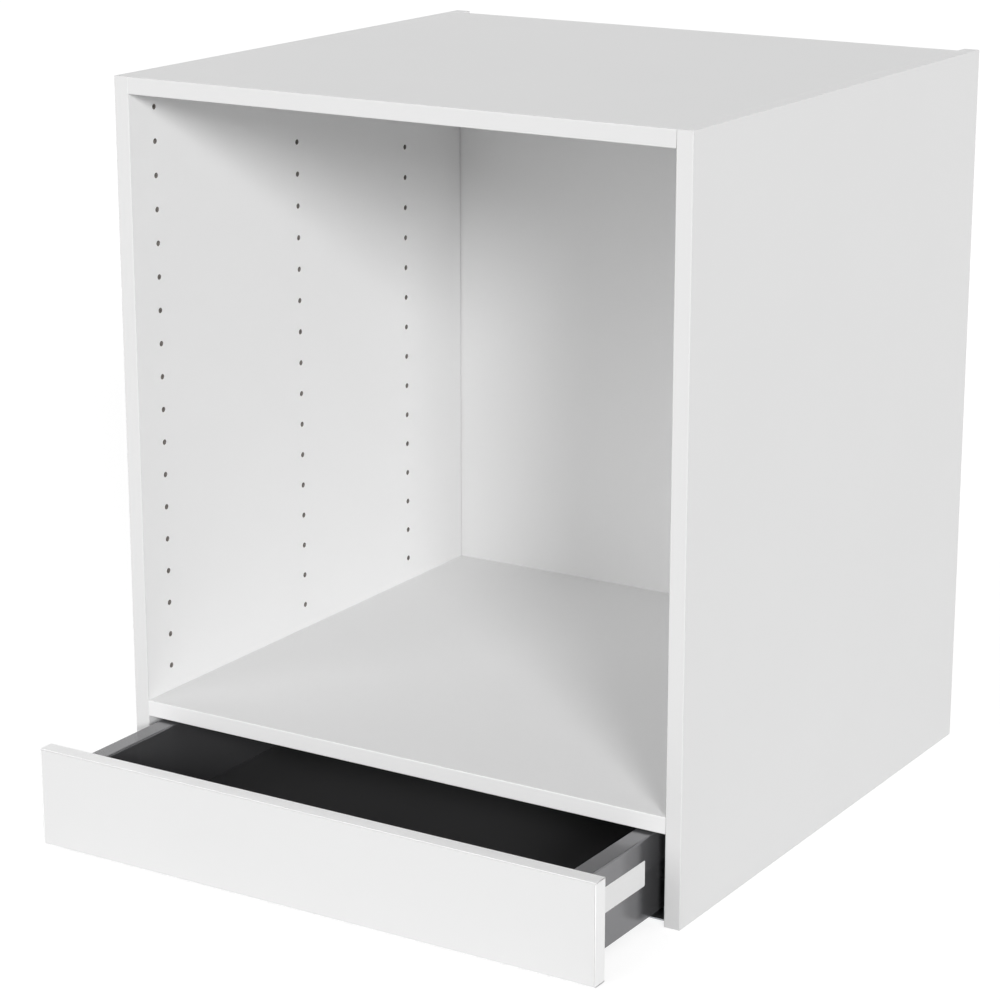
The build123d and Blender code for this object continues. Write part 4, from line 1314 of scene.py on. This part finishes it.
class CABINET_OT_drawer_sides(bpy.types.Operator):
    """Makes the rolled steel drawer sides and the trays inside them"""

    bl_idname = "cabinet.drawer_sides"
    bl_label = "Drawer Sides"

    def execute(self, context):
        sizes = context.scene.cabinet_sizes
        sheet = sizes.side_sheet
        half = sheet / 2
        low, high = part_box("drawer_side_right")
        tray_low, tray_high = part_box("side_stiffener_right")
        foot = rail_low.z + sizes.rail_sheet + FOOT_CLEARANCE
        outer, inner = high.x - half, tray_low.x - half
        top_z, flange_z, tray_z = high.z - half, low.z + half, tray_low.z + half
        near, far = tray_low.x + half, tray_high.x - half
        wall = ((outer, foot), (outer, top_z), (inner, top_z), (inner, flange_z), (low.x, flange_z))
        tray = ((near, tray_high.z), (near, tray_z), (far, tray_z), (far, tray_high.z))
        for side, out in SIDES:
            for kind, line, finish in (
                ("drawer_side", wall, "anthracite_steel"), ("side_stiffener", tray, "galvanised_steel")
            ):
                node = f"{kind}_{side}"
                add_rolled(
                    f"rolled_{node}", "drawer", finish, node, sizes,
                    mirrored(line, out, low.y), ALONG_Y, high.y - low.y, sheet, sizes.side_bend,
                )
        return {"FINISHED"}


class CABINET_OT_label(bpy.types.Operator):
    """Makes the blank white label on the right drawer side"""

    bl_idname = "cabinet.label"
    bl_label = "Blank Label"

    def execute(self, context):
        sizes = context.scene.cabinet_sizes
        wall_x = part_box("drawer_side_right")[1].x
        low_y, low_z = front_y - sizes.label_setback - sizes.label_length, sizes.label_rise
        high_y, high_z = low_y + sizes.label_length, low_z + sizes.label_height
        radius = sizes.label_corner
        outline = []
        for quarter, (y, z) in enumerate((
            (high_y - radius, high_z - radius), (low_y + radius, high_z - radius),
            (low_y + radius, low_z + radius), (high_y - radius, low_z + radius),
        )):
            for step in range(LABEL_CORNER_STEPS + 1):
                turn = (quarter + step / LABEL_CORNER_STEPS) / 2 * math.pi
                outline.append((wall_x, y + radius * math.cos(turn), z + radius * math.sin(turn)))
        mesh = prism_mesh("blank_label", outline, ALONG_X * sizes.label_thickness)
        mesh = settle(on_bench("label", mesh), "blank_label")
        add_piece("blank_label", mesh, "drawer", None, finish="label_paper")
        return {"FINISHED"}


class CABINET_OT_drawer_boards(bpy.types.Operator):
    """Makes the drawer's floor and back with their screw holes"""

    bl_idname = "cabinet.drawer_boards"
    bl_label = "Drawer Floor and Back"

    def execute(self, context):
        sizes = context.scene.cabinet_sizes
        low, high = drawer_floor_low, drawer_floor_high
        cut = sizes.side_bend - sizes.side_sheet / 2
        section = (
            (low.x, high.z), (high.x, high.z), (high.x, low.z + cut), (high.x - cut, low.z),
            (low.x + cut, low.z), (low.x, low.z + cut),
        )
        mesh = prism_mesh("floor", mirrored(section, ALONG_X, low.y), ALONG_Y * (high.y - low.y))
        heads = floor_spots(low.z)
        bores = (
            (heads, sizes.screw_head + SCREW_PLAY, sizes.screw_head_height),
            passed(heads, high.z - low.z),
        )
        finish = "anthracite_board"
        add_board("board_drawer_floor", "drawer", finish, "drawer_bottom", sizes, bores, mesh=mesh)
        bores = (
            gripped(bracket_spots(back_screw_x, drawer_back_high.y)),
            gripped(floor_spots(drawer_back_low.z)),
        )
        add_board("board_drawer_back", "drawer", finish, "drawer_back", sizes, bores)
        return {"FINISHED"}


class CABINET_OT_brackets(bpy.types.Operator):
    """Makes the bent brackets behind the drawer front and on the drawer back"""

    bl_idname = "cabinet.brackets"
    bl_label = "Drawer Brackets"

    def execute(self, context):
        for side, out in SIDES:
            low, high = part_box("front_bracket_right")
            self.bracket(
                context.scene.cabinet_sizes, f"front_bracket_{side}", out, "galvanised_steel",
                low, high, (low.x, high.x), (low.y, high.y), low.y + bracket_sheet, front_screw_x,
            )
            low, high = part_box("back_bracket_right")
            self.bracket(
                context.scene.cabinet_sizes, f"back_bracket_{side}", out, "anthracite_steel",
                low, high, (high.x - bracket_sheet, low.x), (high.y, low.y), high.y, back_screw_x,
            )
        return {"FINISHED"}

    def bracket(self, sizes, node, out, finish, low, high, xs, ys, surface, screw_x):
        """Plate against a board and tongue along the side, with the tongue's corners cut off."""
        (wall_x, plate_x), (plate_y, tongue_y) = xs, ys
        half, inset = bracket_sheet / 2, BRACKET_SCREW_INSET
        back = math.copysign(1.0, plate_y - tongue_y)
        in_sheet, in_wall = plate_y - back * half, wall_x + half
        line = ((plate_x, in_sheet), (in_wall, in_sheet), (in_wall, tongue_y))
        outline = (
            (plate_y + back * inset, low.z), (tongue_y + back * inset, low.z), (tongue_y, low.z + inset),
            (tongue_y, high.z - inset), (tongue_y + back * inset, high.z),
            (plate_y + back * inset, high.z),
        )
        spread_x = min(out.x * low.x, out.x * high.x) - half
        wide = ALONG_X * (high.x - low.x + bracket_sheet)
        add_rolled(
            f"bent_{node}", "drawer", finish, node, sizes,
            [(out.x * x, y, low.z) for x, y in line], ALONG_Z, high.z - low.z,
            bracket_sheet, sizes.bracket_bend,
            trim=prism_mesh("trim", [(spread_x, y, z) for y, z in outline], wide),
            bores=(passed(bracket_spots(screw_x, surface, [out]), bracket_sheet),),
        )


class CABINET_OT_catches(bpy.types.Operator):
    """Makes the moulded catches between the drawer front and the drawer rails"""

    bl_idname = "cabinet.catches"
    bl_label = "Front Catches"

    def execute(self, context):
        sizes = context.scene.cabinet_sizes
        ramp = sizes.catch_ramp
        for side, _ in SIDES:
            low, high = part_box(f"front_catch_{side}")
            outline = [(high.y, high.z), (low.y, high.z), (low.y, low.z)]
            flat = high.y - ramp - low.y
            for rib in range(CATCH_RIBS):
                start = low.y + flat * (0.2 + 0.17 * rib)
                outline += [(start + along, low.z + up) for along, up in CATCH_RIB]
            outline += [(high.y - ramp, low.z), (high.y, low.z + ramp)]
            corners = [(low.x, y, z) for y, z in outline]
            name = f"moulded_catch_{side}"
            work = on_bench(name, prism_mesh(name, corners, ALONG_X * (high.x - low.x)))
            with_rounding(work, sizes.sheet_rounding, 2)
            node = f"front_catch_{side}"
            add_piece(name, settle(work, name), "drawer", "grey_nylon", node, finish="grey_nylon")
        return {"FINISHED"}


class CABINET_OT_rails(bpy.types.Operator):
    """Makes the cabinet rails, the middle rails and the drawer rails of both runners"""

    bl_idname = "cabinet.rails"
    bl_label = "Rails"

    def execute(self, context):
        sizes = context.scene.cabinet_sizes
        sheet, finish = sizes.rail_sheet, "galvanised_steel"
        half = sheet / 2
        shape = (ALONG_Y, rail_high.y - rail_low.y, sheet, sizes.rail_bend)
        middle_low, middle_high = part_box("middle_rail_right")
        low_z, high_z = middle_low.z, middle_high.z
        foot_z = rail_low.z + half
        wall_x = inner_x - half
        flange = ((wall_x, rail_high.z), (wall_x, foot_z), (drawer_rail_high.x - half, foot_z))
        channel = self.channel(low_z + sheet + LIP_PLAY + half, foot_z, half)
        upper = self.channel(drawer_rail_low.z + half, drawer_rail_high.z - half, half)
        wide = (middle_high.x - middle_low.x) / 2
        right = (
            (wide, low_z), (wide, low_z + sheet), (half, low_z + sheet), (half, high_z - sheet),
            (wide, high_z - sheet), (wide, high_z),
        )
        for side, out in SIDES:
            name = f"rolled_cabinet_rail_{side}"
            bore = (
                rail_spots(out, inner_x - sheet), sizes.rail_screw_radius + SCREW_PLAY, sheet + BORE_SPARE
            )
            flange_line, channel_line = (mirrored(line, out, rail_low.y) for line in (flange, channel))
            mesh = joined_mesh(
                name,
                rolled_sheet(name, flange_line, *shape, finish, sizes, bores=(bore,)),
                rolled_sheet(name, channel_line, *shape, finish, sizes),
            )
            add_piece(name, mesh, "carcass", finish, f"cabinet_rail_{side}")
            add_rolled(
                f"rolled_drawer_rail_{side}", "drawer", finish, f"drawer_rail_{side}", sizes,
                mirrored(upper, out, drawer_rail_low.y), ALONG_Y,
                drawer_rail_high.y - drawer_rail_low.y, sheet, sizes.rail_bend,
            )
            node = f"middle_rail_{side}"
            outline = [*right, *((-x, z) for x, z in reversed(right))]
            corners = [(out.x * channel_x + x, middle_low.y, z) for x, z in outline]
            work = on_bench(node, prism_mesh(node, corners, ALONG_Y * (middle_high.y - middle_low.y)))
            with_rounding(work, 2 * sizes.sheet_rounding)
            add_piece(f"drawn_{node}", settle(work, node), node, finish, node, finish=finish)
        return {"FINISHED"}

    def channel(self, lip_z, web_z, half):
        """Channel with two lips, as (distance from the middle, height)."""
        near, far = drawer_rail_low.x + half, drawer_rail_high.x - half
        slot_near, slot_far = channel_x - CHANNEL_SLOT / 2, channel_x + CHANNEL_SLOT / 2
        return (
            (slot_near, lip_z), (near, lip_z), (near, web_z), (far, web_z), (far, lip_z), (slot_far, lip_z)
        )


class CABINET_OT_rollers(bpy.types.Operator):
    """Makes the roller cages and their rollers"""

    bl_idname = "cabinet.rollers"
    bl_label = "Roller Cages"

    def execute(self, context):
        sizes = context.scene.cabinet_sizes
        count, radius, play = sizes.roller_count, sizes.roller_radius, sizes.roller_play
        for side, out in SIDES:
            for stage in ("lower", "upper"):
                body = f"{stage}_cage_{side}"
                rollers = f"{stage}_rollers_{side}"
                low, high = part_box(body)
                roller_low, roller_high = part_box(rollers)
                roller_length = roller_high.x - roller_low.x
                spacing = (high.y - low.y) / count
                ys = [low.y + (i + 0.5) * spacing for i in range(count)]
                middle_x, middle_z = [(low.x + high.x) / 2], [(low.z + high.z) / 2]
                name = f"moulded_{body}"
                work = on_bench(name, mesh_from(name, box_shape(low, high)))
                with_rounding(work, sizes.sheet_rounding, 2)
                places = on_bench("places", places_mesh(spots(ALONG_Z, ALONG_X, middle_x, ys, middle_z)))
                window = Vector((roller_length + play, 2 * (radius + play), 2 * (high.z - low.z)))
                finish = finish_named("grey_nylon")
                with_nodes(work, "Cage Windows", places=places, window=window, finish=finish)
                add_piece(name, settle(work, name, places), body, "grey_nylon", body)
                add_repeated(
                    f"turned_{rollers}", body, "bright_steel", rollers, "Rollers",
                    spots(out, ALONG_Z, middle_x, ys, middle_z),
                    radius=radius, length=roller_length, steps=sizes.round_steps,
                )
        return {"FINISHED"}


class CABINET_PT_builder(bpy.types.Panel):
    """Lists the cabinet's pieces and their settings"""

    bl_idname = "CABINET_PT_builder"
    bl_label = "Oven Base Cabinet"
    bl_space_type = "VIEW_3D"
    bl_region_type = "UI"
    bl_category = "Cabinet"

    def draw(self, context):
        for operator in OPERATORS:
            self.layout.operator(operator.bl_idname)
        for attribute, group in SETTINGS:
            column = self.layout.column(heading=group.__name__)
            settings = getattr(context.scene, attribute)
            for name in group.__annotations__:
                column.prop(settings, name)


OPERATORS = (
    CABINET_OT_stage,
    CABINET_OT_finishes,
    CABINET_OT_sides,
    CABINET_OT_level_boards,
    CABINET_OT_back,
    CABINET_OT_edge_bands,
    CABINET_OT_cams,
    CABINET_OT_screws,
    CABINET_OT_drawer_front,
    CABINET_OT_drawer_sides,
    CABINET_OT_label,
    CABINET_OT_drawer_boards,
    CABINET_OT_brackets,
    CABINET_OT_catches,
    CABINET_OT_rails,
    CABINET_OT_rollers,
)


def register():
    """Adds the settings, operators and panel to Blender."""
    for attribute, group in SETTINGS:
        bpy.utils.register_class(group)
        setattr(bpy.types.Scene, attribute, bpy.props.PointerProperty(type=group))
    for shown in (*OPERATORS, CABINET_PT_builder):
        bpy.utils.register_class(shown)


def unregister():
    """Takes them out again."""
    for shown in (CABINET_PT_builder, *reversed(OPERATORS)):
        bpy.utils.unregister_class(shown)
    for attribute, group in reversed(SETTINGS):
        delattr(bpy.types.Scene, attribute)
        bpy.utils.unregister_class(group)


def main():
    """Builds the dressed cabinet."""
    register()
    for operator in OPERATORS:
        family, action = operator.bl_idname.split(".")
        getattr(getattr(bpy.ops, family), action)()


if __name__ == "__main__":
    main()
